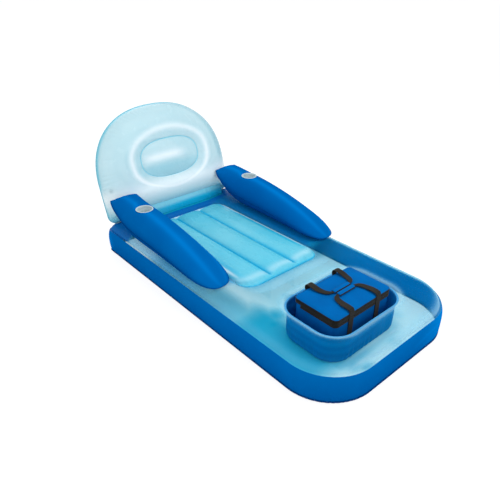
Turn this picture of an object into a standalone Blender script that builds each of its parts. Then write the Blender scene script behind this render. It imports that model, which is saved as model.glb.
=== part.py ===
# Pool air mattress: a translucent air chamber with a welded seat panel, two armrests with cup
# liners, an arched backrest, and a well that holds a soft cooler bag with a zipped lid.
# Metres, +Z up, +Y towards the head end, origin under the middle of the base.

import math

import bmesh
import bpy
from mathutils import Matrix, Vector

# Film, welds and clearances
FILM = 0.0006
SEAM_GAP = 0.0004
LAP = 0.008
MERGE = 0.00001
LEAST_RADIUS = 0.001
OVERRUN = 0.03

# Base chamber
BASE_HALF_X = 0.42
BASE_HALF_Y = 0.805
FOOT_RADIUS = 0.215
HEAD_RADIUS = 0.05
TOP_SEAM_Z = 0.12
TOP_SEAM_INSET = 0.010
CREST_Z = 0.160
EDGE_ROUND = 0.05
FLOOR_SEAM_Z = 0.005
FLOOR_SEAM_INSET = 0.004
FLOOR_EDGE_INSET = 0.030
BAND_LOW_Z = 0.035
BAND_HIGH_Z = 0.090
FLOOR_EDGE_SHARE = 0.35
TUBE_SHARES = (0.14, 0.4, 0.65, 0.88)
BRIDGE_SHARES = (0.14, 0.5, 0.86)
HEAD_SHARES = (0.3, 0.7)
SEAT_ROWS = 5
BASE_FOOT_STEPS = 6
BASE_HEAD_STEPS = 3

# Seat panel
SEAT_HALF_X = 0.235
SEAT_LOW_Y = -0.165
SEAT_HIGH_Y = 0.645
SEAT_RADIUS = 0.07
SEAT_LAND_Z = 0.130
SEAT_CREST_RISE = 0.024
SEAT_VALLEY_X = 0.078
SEAT_END_ROUND = 0.05
SEAT_CLEARANCE = 0.001
CHANNEL_STEPS = 4
BEAM_END_CLEARANCE = 0.02
SEAT_CORNER_STEPS = 3
SEAT_HOLE_STEPS = 6

# Well for the bag
WELL_HALF_X = 0.228
WELL_LOW_Y = -0.648
WELL_HIGH_Y = -0.330
WELL_RADIUS = 0.10
WELL_LAND_Z = 0.142
WELL_COLLAR = 0.024
WELL_WAIST_Z = 0.11
WELL_WAIST_INSET = 0.003
WELL_FOOT_Z = 0.03
WELL_FOOT_INSET = 0.005
WELL_FLOOR_INSET = 0.010
WELL_CORNER_STEPS = 5

# Armrests
ARM_EDGE = 0.085
ARM_X = BASE_HALF_X - ARM_EDGE
ARM_HALF = 0.083
ARM_FRONT_Y = -0.116
ARM_BULLET = 0.17
ARM_REAR_Y = 0.700
ARM_STERN = 0.10
ARM_CREST_LOW = 0.190
ARM_CREST_RISE = 0.150
ARM_LIFT = 0.30
ARM_STERN_SEAM_Z = 0.312
ARM_WELD_SHARE = 0.34
ARM_CREST_POWER = 2.5
ARM_LIFT_POWER = 3.2
ARM_TOP_POWER = 2.3
ARM_FLOOR_POWER = 3.0
ARM_COLUMNS = 11
ARM_STRAIGHT_ROWS = 6
ARM_BULLET_SHARES = (0.0, 0.06, 0.2, 0.42, 0.7)
ARM_STERN_SHARES = (0.0, 0.5, 0.82)

# Cup liners
CUP_OFFSET = 0.003
CUP_X = ARM_X + CUP_OFFSET
CUP_FROM_REAR = 0.215
CUP_Y = ARM_REAR_Y - CUP_FROM_REAR
CUP_LAND_Z = 0.322
CUP_LAND_HALF = 0.052
CUP_LAND_FADE = 0.045
CUP_FLANGE_RADIUS = 0.045
CUP_TOP_RADIUS = 0.037
CUP_FLOOR_RADIUS = 0.032
CUP_DEPTH = 0.080
CUP_WALL = 0.0012
CUP_CLEARANCE = 0.0008
CUP_SIDES = 24

# Backrest
BACK_HALF_X = 0.40
BACK_Y = 0.765
BACK_Z = 0.145
BACK_LEAN = math.radians(17)
BACK_LOW_S = 0.008
BACK_SHOULDER_S = 0.20
BACK_TOP_S = 0.573
BACK_FOOT_RADIUS = 0.04
BACK_ARCH_POWER = 2.3
CREASE_DEPTH = 0.085
RING_BULGE = 0.030
OVAL_S = 0.284
OVAL_HALF_X = 0.180
OVAL_HALF_S = 0.101
OVAL_DOME = 0.012
RING_SHARES = (0.25, 0.5, 0.75, 0.92, 1.0)
DOME_SHARES = (0.0, 0.55, 1.0)
ARCH_STEPS = 16
FOOT_STEPS = 6
CORNER_STEPS = 2
GUSSET_Y = 0.690
GUSSET_BULGE = 0.012
GUSSET_RING = 3
GUSSET_STEPS = 4

# Inflation valves
VALVE_FLANGE_RADIUS = 0.0125
VALVE_FLANGE = 0.0012
VALVE_NECK_RADIUS = 0.0070
VALVE_BORE_RADIUS = 0.0052
VALVE_NECK = 0.010
VALVE_SEAT_CLEARANCE = 0.0005
PLUG_PIN_RADIUS = 0.0048
PLUG_PIN = 0.007
PLUG_CAP_RADIUS = 0.0085
PLUG_CAP = 0.0022
VALVE_SIDES = 16
BACK_VALVE_LIFT = 0.0012
BASE_VALVE_X = -0.15

# Cooler bag
BAG_HALF_X = 0.175
BAG_LOW_Y = -0.60
BAG_HIGH_Y = -0.38
BAG_RADIUS = 0.026
BAG_RIM_Z = 0.1635
BAG_WALL = 0.003
BAG_FOOT_ROUND = 0.012
BAG_CORNER_STEPS = 3
LINER_WALL = 0.004
LID_GAP = 0.0006
LID_SKIRT_Z = 0.182
LID_EDGE_Z = 0.192
LID_EDGE_INSET = 0.012
LID_CROWN_INSET = 0.022
LID_CROWN_Z = 0.197
LID_WALL = 0.006
LID_ROOF = 0.008
TAPE = 0.0012
TAPE_HEIGHT = 0.012
TAPE_REAR_CLEARANCE = 0.012
SLIDER_HALF_Y = 0.006
SLIDER_DEPTH = 0.004
SLIDER_REACH = 0.007
SLIDER_Y = -0.478
SLIDER_BEVEL = 0.001
PULL_HALF_Y = 0.0035
PULL_THICK = 0.0012
PULL_LENGTH = 0.024
PULL_HEAD = 0.0004
PULL_PIVOT_Z = 0.163
STRAP_X = 0.085
STRAP_HALF = 0.0125
STRAP = 0.002
STRAP_LOW_Z = 0.02
FRONT_STRAP_TOP_Z = 0.174
REAR_STRAP_TOP_Z = 0.160
HANDLE_SEAT_GAP = 0.0008
REAR_HANDLE_LIFT = 0.0038
HANDLE_PIVOT_RISE = 0.0006
GRIP_HALF_X = 0.052
GRIP_TURN = 0.016
GRIP_BAR_HALF = 0.006
GRIP_PAD = 0.0035
FRONT_GRIP_Y = -0.503
REAR_GRIP_Y = -0.477
GRIP_LENGTH_SHARE = 0.92
GRIP_SPAN_STEPS = 3
GRIP_SIDES = 16
HUMP_REACH = 0.010
HUMP_RISE = 0.012

# Finishes: colour, roughness, metallic
DEEP_BLUE = ((0.0, 0.125, 0.440), 0.35, 0.0)
CLEAR_BLUE = ((0.42, 0.74, 0.86), 0.35, 0.0)
CYAN = ((0.01, 0.36, 0.64), 0.35, 0.0)
WHITE_FILM = ((0.78, 0.88, 0.92), 0.35, 0.0)
CUP_GREY = ((0.50, 0.58, 0.58), 0.4, 0.0)
BAG_BLUE = ((0.002, 0.105, 0.350), 0.7, 0.0)
WEBBING = ((0.016, 0.014, 0.010), 0.85, 0.0)
FOIL = ((0.60, 0.62, 0.64), 0.3, 0.0)
METAL = ((0.70, 0.71, 0.72), 0.3, 1.0)

BASE_PLAN = (BASE_HALF_X, -BASE_HALF_Y, BASE_HALF_Y, FOOT_RADIUS, HEAD_RADIUS)
SEAT_PLAN = (SEAT_HALF_X, SEAT_LOW_Y, SEAT_HIGH_Y, SEAT_RADIUS, SEAT_RADIUS)
WELL_PLAN = (WELL_HALF_X, WELL_LOW_Y, WELL_HIGH_Y, WELL_RADIUS, WELL_RADIUS)
BAG_PLAN = (BAG_HALF_X, BAG_LOW_Y, BAG_HIGH_Y, BAG_RADIUS, BAG_RADIUS)


def clear_scene():
    for item in list(bpy.data.objects):
        bpy.data.objects.remove(item, do_unlink=True)


def make_collection(name):
    collection = bpy.data.collections.new(name)
    bpy.context.scene.collection.children.link(collection)
    return collection


def make_material(name, finish):
    colour, roughness, metallic = finish
    material = bpy.data.materials.new(name)
    material.use_nodes = True
    shader = material.node_tree.nodes["Principled BSDF"]
    shader.inputs["Base Color"].default_value = (*colour, 1.0)
    shader.inputs["Roughness"].default_value = roughness
    shader.inputs["Metallic"].default_value = metallic
    return material


clear_scene()
PARTS = make_collection("pool_air_mattress")
CUTTERS = make_collection("cutters")


def add_part(name, mesh, finish):
    mesh.materials.clear()
    mesh.materials.append(make_material(name + "_finish", finish))
    part = bpy.data.objects.new(name, mesh)
    PARTS.objects.link(part)
    return part


def pivot(name, place, *parts):
    """An empty on a joint's axis, with the moving parts parented to it where they stand."""
    holder = bpy.data.objects.new(name, None)
    holder.location = place
    PARTS.objects.link(holder)
    for part in parts:
        part.parent = holder
        part.matrix_parent_inverse = Matrix.Translation(-Vector(place))
    return holder


# Mesh helpers


def mapped_mesh(name, columns, rows, place):
    """A grid whose corner (i, j) stands at place(i, j). Corners that fall together are merged."""
    build = bmesh.new()
    bmesh.ops.create_grid(build, x_segments=columns, y_segments=rows, size=1)
    for corner in build.verts:
        i = round((corner.co.x + 1) / 2 * columns)
        j = round((corner.co.y + 1) / 2 * rows)
        corner.co = place(i, j)
    bmesh.ops.remove_doubles(build, verts=build.verts, dist=MERGE)
    mesh = bpy.data.meshes.new(name)
    build.to_mesh(mesh)
    build.free()
    return mesh


def sheet(name, columns, rows, place, thickness, side, finish):
    """An open mapped surface given its thickness on one side: +1 along its normals, -1 against."""
    part = add_part(name, mapped_mesh(name, columns, rows, place), finish)
    part.data.shade_smooth()
    wall = part.modifiers.new("thickness", "SOLIDIFY")
    wall.thickness = thickness
    wall.offset = side
    wall.use_even_offset = True
    return part


def skin(name, columns, rows, place, finish):
    """A closed mapped surface, whose first and last rows shrink to a point."""
    mesh = mapped_mesh(name, columns, rows, place)
    build = bmesh.new()
    build.from_mesh(mesh)
    bmesh.ops.recalc_face_normals(build, faces=build.faces)
    build.to_mesh(mesh)
    build.free()
    return add_part(name, mesh, finish)


def block(name, low, high, finish):
    mesh = bpy.data.meshes.new(name)
    build = bmesh.new()
    bmesh.ops.create_cube(build, size=1)
    size = Vector(high) - Vector(low)
    middle = (Vector(high) + Vector(low)) / 2
    bmesh.ops.scale(build, vec=size, verts=build.verts)
    bmesh.ops.translate(build, vec=middle, verts=build.verts)
    build.to_mesh(mesh)
    build.free()
    return add_part(name, mesh, finish)


def turned(name, profile, closed, sides, stand, finish):
    """A profile of (radius, height) pairs, top to bottom on its outer side, turned about Z."""
    mesh = bpy.data.meshes.new(name)
    edges = [(k, k + 1) for k in range(len(profile) - 1)]
    if closed:
        edges.append((len(profile) - 1, 0))
    mesh.from_pydata([(radius, 0, height) for radius, height in profile], edges, [])
    part = add_part(name, mesh, finish)
    part.matrix_world = stand
    turn = part.modifiers.new("turn", "SCREW")
    turn.angle = 2 * math.pi
    turn.steps = sides
    turn.render_steps = sides
    turn.use_merge_vertices = True
    turn.merge_threshold = MERGE
    turn.use_smooth_shade = True
    return part


def cut(part, cutter, operation="DIFFERENCE"):
    cutter.parent = part
    opening = part.modifiers.new("opening", "BOOLEAN")
    opening.operation = operation
    opening.solver = "EXACT"
    opening.object = cutter


def add_cutter(name, mesh):
    cutter = bpy.data.objects.new(name, mesh)
    cutter.hide_render = True
    cutter.display_type = "WIRE"
    CUTTERS.objects.link(cutter)
    return cutter


def prism_cutter(name, outline, low_z, high_z):
    mesh = bpy.data.meshes.new(name)
    build = bmesh.new()
    floor = build.faces.new([build.verts.new((x, y, low_z)) for x, y in outline])
    raised = bmesh.ops.extrude_face_region(build, geom=[floor])
    lifted = [item for item in raised["geom"] if isinstance(item, bmesh.types.BMVert)]
    bmesh.ops.translate(build, vec=(0, 0, high_z - low_z), verts=lifted)
    bmesh.ops.recalc_face_normals(build, faces=build.faces)
    build.to_mesh(mesh)
    build.free()
    return add_cutter(name, mesh)


def round_cutter(name, radius, sides, stand):
    mesh = bpy.data.meshes.new(name)
    build = bmesh.new()
    bmesh.ops.create_cone(
        build, cap_ends=True, segments=sides, radius1=radius, radius2=radius, depth=2 * OVERRUN
    )
    build.to_mesh(mesh)
    build.free()
    cutter = add_cutter(name, mesh)
    cutter.matrix_world = stand
    return cutter


# Plan outlines: (half width, low y, high y, radius of the low corners, radius of the high corners)


def plan_edge(plan, row_y, inset):
    """Half width and y of a plan's edge, moved in by inset, on the row that meets it at row_y.
    An edge moved in past a corner's radius keeps a small corner there."""
    half_x, low_y, high_y, low_radius, high_radius = plan
    low_centre = low_y + low_radius
    high_centre = high_y - high_radius
    if row_y < low_centre:
        turn = math.acos(min(1, (low_centre - row_y) / low_radius))
        back = max(low_radius, inset + LEAST_RADIUS)
        reach = back - inset
        return half_x - back + reach * math.sin(turn), low_y + back - reach * math.cos(turn)
    if row_y > high_centre:
        turn = math.acos(min(1, (row_y - high_centre) / high_radius))
        back = max(high_radius, inset + LEAST_RADIUS)
        reach = back - inset
        return half_x - back + reach * math.sin(turn), high_y - back + reach * math.cos(turn)
    return half_x - inset, row_y


def plan_corner(plan, column_x, row_y, inset):
    """A column's point on a row, held to the edge. A column at the plan's full width is on it."""
    half, y = plan_edge(plan, row_y, inset)
    if abs(column_x) > plan[0] - MERGE:
        return math.copysign(half, column_x), y
    return max(-half, min(half, column_x)), y


def corner_rows(plan, low_steps, high_steps):
    """Row heights at even turns round a plan's low and high corners."""
    low_y, high_y, low_radius, high_radius = plan[1:]
    quarter = math.pi / 2
    low = [
        low_y + low_radius * (1 - math.cos(quarter * step / low_steps))
        for step in range(low_steps + 1)
    ]
    high = [
        high_y - high_radius * (1 - math.cos(quarter * step / high_steps))
        for step in range(high_steps + 1)
    ]
    return low + high


def even_rows(plan, steps):
    return sorted(corner_rows(plan, steps, steps))


def plan_loop(plan, columns, rows, inset):
    """The plan's edge as one closed loop of points, anticlockwise from the low left corner."""
    half_x, low_radius, high_radius = plan[0], plan[3], plan[4]
    foot = [x for x in columns if abs(x) < half_x - low_radius - MERGE]
    head = [x for x in columns if abs(x) < half_x - high_radius - MERGE]
    loop = [plan_corner(plan, x, rows[0], inset) for x in foot]
    loop += [plan_corner(plan, half_x, y, inset) for y in rows]
    loop += [plan_corner(plan, x, rows[-1], inset) for x in reversed(head)]
    loop += [plan_corner(plan, -half_x, y, inset) for y in reversed(rows)]
    return loop


def depth_in(plan, x, y):
    """Distance in from a plan's rounded edge, negative outside it."""
    half_x, low_y, high_y, low_radius, high_radius = plan
    middle = (low_y + high_y) / 2
    radius = low_radius if y < middle else high_radius
    over_x = abs(x) - (half_x - radius)
    over_y = abs(y - middle) - ((high_y - low_y) / 2 - radius)
    outside = math.hypot(max(over_x, 0), max(over_y, 0))
    return radius - outside - min(max(over_x, over_y), 0)


def land_plan(plan):
    """The square-cornered flat land round an opening."""
    return plan[0] + LAP, plan[1] - LAP, plan[2] + LAP, 0, 0


def lerp(start, end, share):
    return start + (end - start) * share


def quarter_round(share):
    """Rises from 0 to 1 as a quarter circle does."""
    share = max(0, min(1, share))
    return math.sqrt(1 - (1 - share) ** 2)


# Base chamber

DECK_INSET = TOP_SEAM_INSET + LAP


def deck_height(x, y):
    """Outer face of the top sheet: flat lands round both openings, rounded up to one crest."""
    edge = max(0, depth_in(BASE_PLAN, x, y) - DECK_INSET)
    seat = max(0, -depth_in(land_plan(SEAT_PLAN), x, y))
    well = max(0, -depth_in(land_plan(WELL_PLAN), x, y))
    levels = ((edge, TOP_SEAM_Z + FILM), (seat, SEAT_LAND_Z), (well, WELL_LAND_Z))
    near, level = min(levels)
    if near < MERGE:
        return level
    pull = sum(1 / distance for distance, _ in levels)
    level = sum(height / distance for distance, height in levels) / pull
    return lerp(level, CREST_Z, quarter_round(near / EDGE_ROUND))


def mirrored(places):
    return sorted({-x for x in places} | set(places))


def deck_columns():
    land = SEAT_HALF_X + LAP
    tube = [lerp(land, BASE_HALF_X - DECK_INSET, share) for share in TUBE_SHARES]
    inner = [WELL_HALF_X / 2, WELL_HALF_X + LAP, land]
    return mirrored(inner + tube + [BASE_HALF_X])


def deck_rows():
    seat_low = SEAT_LOW_Y - LAP
    seat_high = SEAT_HIGH_Y + LAP
    well_high = WELL_HIGH_Y + LAP
    rows = corner_rows(BASE_PLAN, BASE_FOOT_STEPS, BASE_HEAD_STEPS)
    rows += [WELL_LOW_Y - LAP, well_high]
    rows += [lerp(well_high, seat_low, share) for share in BRIDGE_SHARES]
    rows += [lerp(seat_low, seat_high, step / SEAT_ROWS) for step in range(SEAT_ROWS + 1)]
    rows += [lerp(seat_high, BASE_HALF_Y - HEAD_RADIUS, share) for share in HEAD_SHARES]
    return sorted(rows)


def lapped_sheet(name, plan, columns, rows, lap_inset, edge_inset, height, finish):
    """A sheet over a plan, with an outer ring that is its weld lap."""
    last_column, last_row = len(columns) + 1, len(rows) + 1

    def place(i, j):
        outer = i in (0, last_column) or j in (0, last_row)
        column_x = columns[max(1, min(last_column - 1, i)) - 1]
        row_y = rows[max(1, min(last_row - 1, j)) - 1]
        x, y = plan_corner(plan, column_x, row_y, edge_inset)
        z = height(x, y)
        if outer:
            x, y = plan_corner(plan, column_x, row_y, lap_inset)
        return Vector((x, y, z))

    return sheet(name, last_column, last_row, place, FILM, -1, finish)


def ring_sheet(name, plan, columns, rows, levels, side, finish):
    """A ring round a plan through (inset, height) levels. An inset of None is the ring's centre."""
    centre = Vector((0, (plan[1] + plan[2]) / 2, 0))
    loops = [
        None if inset is None else plan_loop(plan, columns, rows, inset) for inset, _ in levels
    ]
    count = max(len(loop) for loop in loops if loop)

    def place(i, j):
        height = levels[j][1]
        if loops[j] is None:
            return Vector((centre.x, centre.y, height))
        x, y = loops[j][i % count]
        return Vector((x, y, height))

    return sheet(name, count, len(levels) - 1, place, FILM, side, finish)


def deck_cutter(name, plan, steps, inset, land_z):
    loop = plan_loop(plan, [], even_rows(plan, steps), inset)
    return prism_cutter(name, loop, land_z - OVERRUN, CREST_Z + OVERRUN)


def make_deck(name, columns, rows):
    return lapped_sheet(
        name, BASE_PLAN, columns, rows, TOP_SEAM_INSET, DECK_INSET, deck_height, CLEAR_BLUE
    )


def make_base():
    columns = deck_columns()
    rows = deck_rows()
    top = make_deck("top_sheet", columns, rows)
    cut(top, deck_cutter("seat_hole", SEAT_PLAN, SEAT_HOLE_STEPS, 0, SEAT_LAND_Z))
    well = (WELL_PLAN, WELL_CORNER_STEPS)
    cut(top, deck_cutter("collar_hole", *well, -WELL_COLLAR - SEAM_GAP, WELL_LAND_Z))
    # The collar follows the deck's own surface round the well
    collar = make_deck("well_collar", columns, rows)
    cut(collar, deck_cutter("collar_edge", *well, -WELL_COLLAR, WELL_LAND_Z), "INTERSECT")
    cut(collar, deck_cutter("well_hole", *well, 0, WELL_LAND_Z))

    wall_foot = FLOOR_SEAM_Z + SEAM_GAP
    wall_head = TOP_SEAM_Z - SEAM_GAP
    wall_levels = [
        (FLOOR_SEAM_INSET + LAP, wall_foot),
        (FLOOR_SEAM_INSET, wall_foot),
        (0, BAND_LOW_Z),
        (0, BAND_HIGH_Z),
        (TOP_SEAM_INSET, wall_head),
        (DECK_INSET, wall_head),
    ]
    wall = ring_sheet("side_wall", BASE_PLAN, columns, rows, wall_levels, -1, DEEP_BLUE)
    tray_levels = [
        (FLOOR_SEAM_INSET, FLOOR_SEAM_Z - FILM),
        (FLOOR_SEAM_INSET + LAP, FLOOR_SEAM_Z - FILM),
        (lerp(FLOOR_SEAM_INSET + LAP, FLOOR_EDGE_INSET, 0.5), FLOOR_SEAM_Z * FLOOR_EDGE_SHARE),
        (FLOOR_EDGE_INSET, 0),
        (None, 0),
    ]
    ring_sheet("bottom_sheet", BASE_PLAN, columns, rows, tray_levels, 1, CLEAR_BLUE)
    return wall


def channel_rise(x):
    """Height share across the three channels: a half oval from valley to valley."""
    if abs(x) < SEAT_VALLEY_X:
        across = x / SEAT_VALLEY_X
    else:
        middle = (SEAT_VALLEY_X + SEAT_HALF_X) / 2
        across = (abs(x) - middle) / (SEAT_HALF_X - middle)
    return math.sqrt(max(0, 1 - across * across))


SEAT_FLANGE_Z = SEAT_LAND_Z - FILM - SEAM_GAP


def seat_height(x, y):
    end = max(0, depth_in(SEAT_PLAN, x, y) - SEAT_CLEARANCE)
    return SEAT_FLANGE_Z + SEAT_CREST_RISE * channel_rise(x) * quarter_round(end / SEAT_END_ROUND)


def make_seat():
    steps = range(CHANNEL_STEPS + 1)
    outer = [lerp(SEAT_VALLEY_X, SEAT_HALF_X, step / CHANNEL_STEPS) for step in steps]
    inner = [SEAT_VALLEY_X * step * 2 / CHANNEL_STEPS for step in range(CHANNEL_STEPS // 2)]
    rows = even_rows(SEAT_PLAN, SEAT_CORNER_STEPS)
    low, high = SEAT_LOW_Y + SEAT_RADIUS, SEAT_HIGH_Y - SEAT_RADIUS
    rows += [lerp(low, high, step / CHANNEL_STEPS) for step in range(1, CHANNEL_STEPS)]
    lapped_sheet(
        "seat_panel",
        SEAT_PLAN,
        mirrored(inner + outer),
        sorted(rows),
        -LAP,
        SEAT_CLEARANCE,
        seat_height,
        CLEAR_BLUE,
    )
    for name, side in (("seat_beam_left", -1), ("seat_beam_right", 1)):
        middle = side * SEAT_VALLEY_X
        block(
            name,
            (middle - FILM, SEAT_LOW_Y + BEAM_END_CLEARANCE, FILM + SEAM_GAP),
            (middle + FILM, SEAT_HIGH_Y - BEAM_END_CLEARANCE, SEAT_FLANGE_Z - FILM - SEAM_GAP),
            WHITE_FILM,
        )


WELL_FLOOR_Z = 2 * FILM + SEAM_GAP


def make_well():
    flange = WELL_LAND_Z - FILM - SEAM_GAP
    levels = [
        (-LAP, flange),
        (0, flange),
        (WELL_WAIST_INSET, WELL_WAIST_Z),
        (WELL_FOOT_INSET, WELL_FOOT_Z),
        (WELL_FLOOR_INSET, WELL_FLOOR_Z),
    ]
    rows = even_rows(WELL_PLAN, WELL_CORNER_STEPS)
    ring_sheet("well_liner", WELL_PLAN, [], rows, levels, -1, DEEP_BLUE)
    floor = [(WELL_FLOOR_INSET + SEAM_GAP, WELL_FLOOR_Z), (None, WELL_FLOOR_Z)]
    ring_sheet("well_floor", WELL_PLAN, [], rows, floor, -1, DEEP_BLUE)


# Inflation valves


def stand_on(corners, outward, lift=0.0):
    """A frame at the middle of four corners, its Z along their outward normal."""
    middle = sum(corners, Vector()) / len(corners)
    normal = (corners[2] - corners[0]).cross(corners[3] - corners[1]).normalized()
    if normal.dot(outward) < 0:
        normal = -normal
    turn = Vector((0, 0, 1)).rotation_difference(normal).to_matrix().to_4x4()
    return Matrix.Translation(middle + normal * (FILM + lift)) @ turn


def make_valve(name, film, stand):
    """A welded flange with its neck through the film, and a plug that pushes into its bore."""
    under = VALVE_SEAT_CLEARANCE
    head = under + VALVE_FLANGE
    flange = [
        (VALVE_BORE_RADIUS, head),
        (VALVE_FLANGE_RADIUS, head),
        (VALVE_FLANGE_RADIUS, under),
        (VALVE_NECK_RADIUS, under),
        (VALVE_NECK_RADIUS, under - VALVE_NECK),
        (VALVE_BORE_RADIUS, under - VALVE_NECK),
    ]
    valve = turned(name, flange, True, VALVE_SIDES, stand, WHITE_FILM)
    seat = head + SEAM_GAP
    plug = [
        (0, seat + PLUG_CAP),
        (PLUG_CAP_RADIUS, seat + PLUG_CAP),
        (PLUG_CAP_RADIUS, seat),
        (PLUG_PIN_RADIUS, seat),
        (PLUG_PIN_RADIUS, seat - PLUG_PIN),
        (0, seat - PLUG_PIN),
    ]
    cap = turned(name + "_plug", plug, False, VALVE_SIDES, stand, CYAN)
    hole = VALVE_NECK_RADIUS + VALVE_SEAT_CLEARANCE
    cut(film, round_cutter(name + "_hole", hole, VALVE_SIDES, stand))
    return valve, cap


def make_base_valve(wall):
    half = VALVE_FLANGE_RADIUS
    low, high = BASE_VALVE_X - half, BASE_VALVE_X + half
    rear = BASE_HALF_Y - FILM
    corners = [
        Vector((low, rear, BAND_LOW_Z)),
        Vector((high, rear, BAND_LOW_Z)),
        Vector((high, rear, BAND_HIGH_Z)),
        Vector((low, rear, BAND_HIGH_Z)),
    ]
    make_valve("base_valve", wall, stand_on(corners, Vector((0, 1, 0))))


# Armrests

ARM_FLOOR_Z = CREST_Z + SEAM_GAP + FILM


def arm_rows():
    straight_low = ARM_FRONT_Y + ARM_BULLET
    straight_high = ARM_REAR_Y - ARM_STERN
    rows = [lerp(ARM_FRONT_Y, straight_low, share) for share in ARM_BULLET_SHARES]
    rows += [
        lerp(straight_low, CUP_Y - CUP_LAND_HALF, step / ARM_STRAIGHT_ROWS)
        for step in range(ARM_STRAIGHT_ROWS)
    ]
    rows += [CUP_Y - CUP_LAND_HALF, CUP_Y, CUP_Y + CUP_LAND_HALF]
    rows += [lerp(straight_high, ARM_REAR_Y, share) for share in ARM_STERN_SHARES]
    return rows + [ARM_REAR_Y]


def arm_profile(y):
    """Half width, floor, weld and crest heights of an armrest at y."""
    along = (y - ARM_FRONT_Y) / (ARM_REAR_Y - ARM_FRONT_Y)
    crest = ARM_CREST_LOW + ARM_CREST_RISE * (1 - (1 - along) ** ARM_CREST_POWER)
    lift = max(0, 1 - (ARM_REAR_Y - y) / ARM_LIFT) ** ARM_LIFT_POWER
    floor = lerp(ARM_FLOOR_Z, ARM_STERN_SEAM_Z, lift)
    stern = quarter_round((ARM_REAR_Y - y) / ARM_STERN)
    crest = lerp(ARM_STERN_SEAM_Z, crest, stern)
    weld = lerp(floor, crest, ARM_WELD_SHARE)
    bullet = quarter_round((y - ARM_FRONT_Y) / ARM_BULLET)
    return ARM_HALF * bullet, lerp(weld, floor, bullet), weld, lerp(weld, crest, bullet)


def arm_corner(side, i, y, upper):
    turn = math.pi * (i / ARM_COLUMNS - 0.5)
    across = math.sin(turn)
    half, floor, weld, crest = arm_profile(y)
    x = side * ARM_X + half * across
    if upper:
        rise = max(0, 1 - abs(across) ** ARM_TOP_POWER) ** 0.5
        z = lerp(weld + SEAM_GAP / 2, crest, rise)
        clear = max(0, abs(y - CUP_Y) - CUP_LAND_HALF) / CUP_LAND_FADE
        z = min(z, CUP_LAND_Z + clear * CUP_LAND_FADE)
    else:
        rise = max(0, 1 - abs(across) ** ARM_FLOOR_POWER) ** 0.5
        z = lerp(weld - SEAM_GAP / 2, floor, rise)
    return Vector((x, y, z))


def make_armrest(hand, side):
    name = "armrest_" + hand
    rows = arm_rows()

    def upper_place(i, j):
        return arm_corner(side, i, rows[j], True)

    def lower_place(i, j):
        return arm_corner(side, i, rows[j], False)

    upper = sheet(
        name + "_upper", ARM_COLUMNS, len(rows) - 1, upper_place, FILM, 1, DEEP_BLUE
    )
    lower = sheet(
        name + "_lower", ARM_COLUMNS, len(rows) - 1, lower_place, FILM, -1, DEEP_BLUE
    )
    middle = ARM_COLUMNS // 2
    stern = len(rows) - 3
    corners = [
        lower_place(middle, stern),
        lower_place(middle + 1, stern),
        lower_place(middle + 1, stern + 1),
        lower_place(middle, stern + 1),
    ]
    make_valve(name + "_valve", lower, stand_on(corners, Vector((0, 1, -1))))

    cup = Matrix.Translation((side * CUP_X, CUP_Y, CUP_LAND_Z + FILM + SEAM_GAP))
    hole = CUP_TOP_RADIUS + CUP_WALL + CUP_CLEARANCE
    cut(upper, round_cutter(name + "_cup_hole", hole, CUP_SIDES, cup))
    liner = [
        (0, -CUP_DEPTH),
        (CUP_FLOOR_RADIUS, -CUP_DEPTH),
        (CUP_TOP_RADIUS, CUP_WALL),
        (CUP_FLANGE_RADIUS, CUP_WALL),
        (CUP_FLANGE_RADIUS, 0),
        (CUP_TOP_RADIUS + CUP_WALL, 0),
        (CUP_FLOOR_RADIUS + CUP_WALL, -CUP_DEPTH - CUP_WALL),
        (0, -CUP_DEPTH - CUP_WALL),
    ]
    turned("cup_liner_" + hand, liner, False, CUP_SIDES, cup, CUP_GREY)


# Backrest, in its own plane: a across, s up along it, n out towards the seat

UP_PLANE = Vector((0, math.sin(BACK_LEAN), math.cos(BACK_LEAN)))
TO_SEAT = Vector((0, -math.cos(BACK_LEAN), math.sin(BACK_LEAN)))
BACK_FOOT = Vector((0, BACK_Y, BACK_Z)) + UP_PLANE * BACK_LOW_S


def back_place(a, s, n):
    return Vector((a, BACK_Y, BACK_Z)) + UP_PLANE * s + TO_SEAT * n


def back_outline():
    """The arch from its right shoulder over the top, down the left side and along the foot."""
    points = []
    rise = BACK_TOP_S - BACK_SHOULDER_S
    power = 2 / BACK_ARCH_POWER
    for step in range(ARCH_STEPS + 1):
        turn = math.pi * step / ARCH_STEPS
        across = math.copysign(abs(math.cos(turn)) ** power, math.cos(turn))
        up = max(0, math.sin(turn)) ** power
        points.append((BACK_HALF_X * across, BACK_SHOULDER_S + rise * up))
    centre_a = BACK_HALF_X - BACK_FOOT_RADIUS
    centre_s = BACK_LOW_S + BACK_FOOT_RADIUS
    quarter = math.pi / 2
    left, right = [], []
    for step in range(CORNER_STEPS + 1):
        turn = quarter * step / CORNER_STEPS
        a = centre_a + BACK_FOOT_RADIUS * math.cos(turn)
        s = centre_s - BACK_FOOT_RADIUS * math.sin(turn)
        left.append((-a, s))
        right.insert(0, (a, s))
    foot = [
        (lerp(-centre_a, centre_a, step / FOOT_STEPS), BACK_LOW_S) for step in range(1, FOOT_STEPS)
    ]
    return points + left + foot + right


def oval_point(a, s):
    """The crease oval's point on the line from its centre through (a, s)."""
    over_a, over_s = a / OVAL_HALF_X, (s - OVAL_S) / OVAL_HALF_S
    reach = math.hypot(over_a, over_s)
    return a / reach, OVAL_S + (s - OVAL_S) / reach


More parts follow.
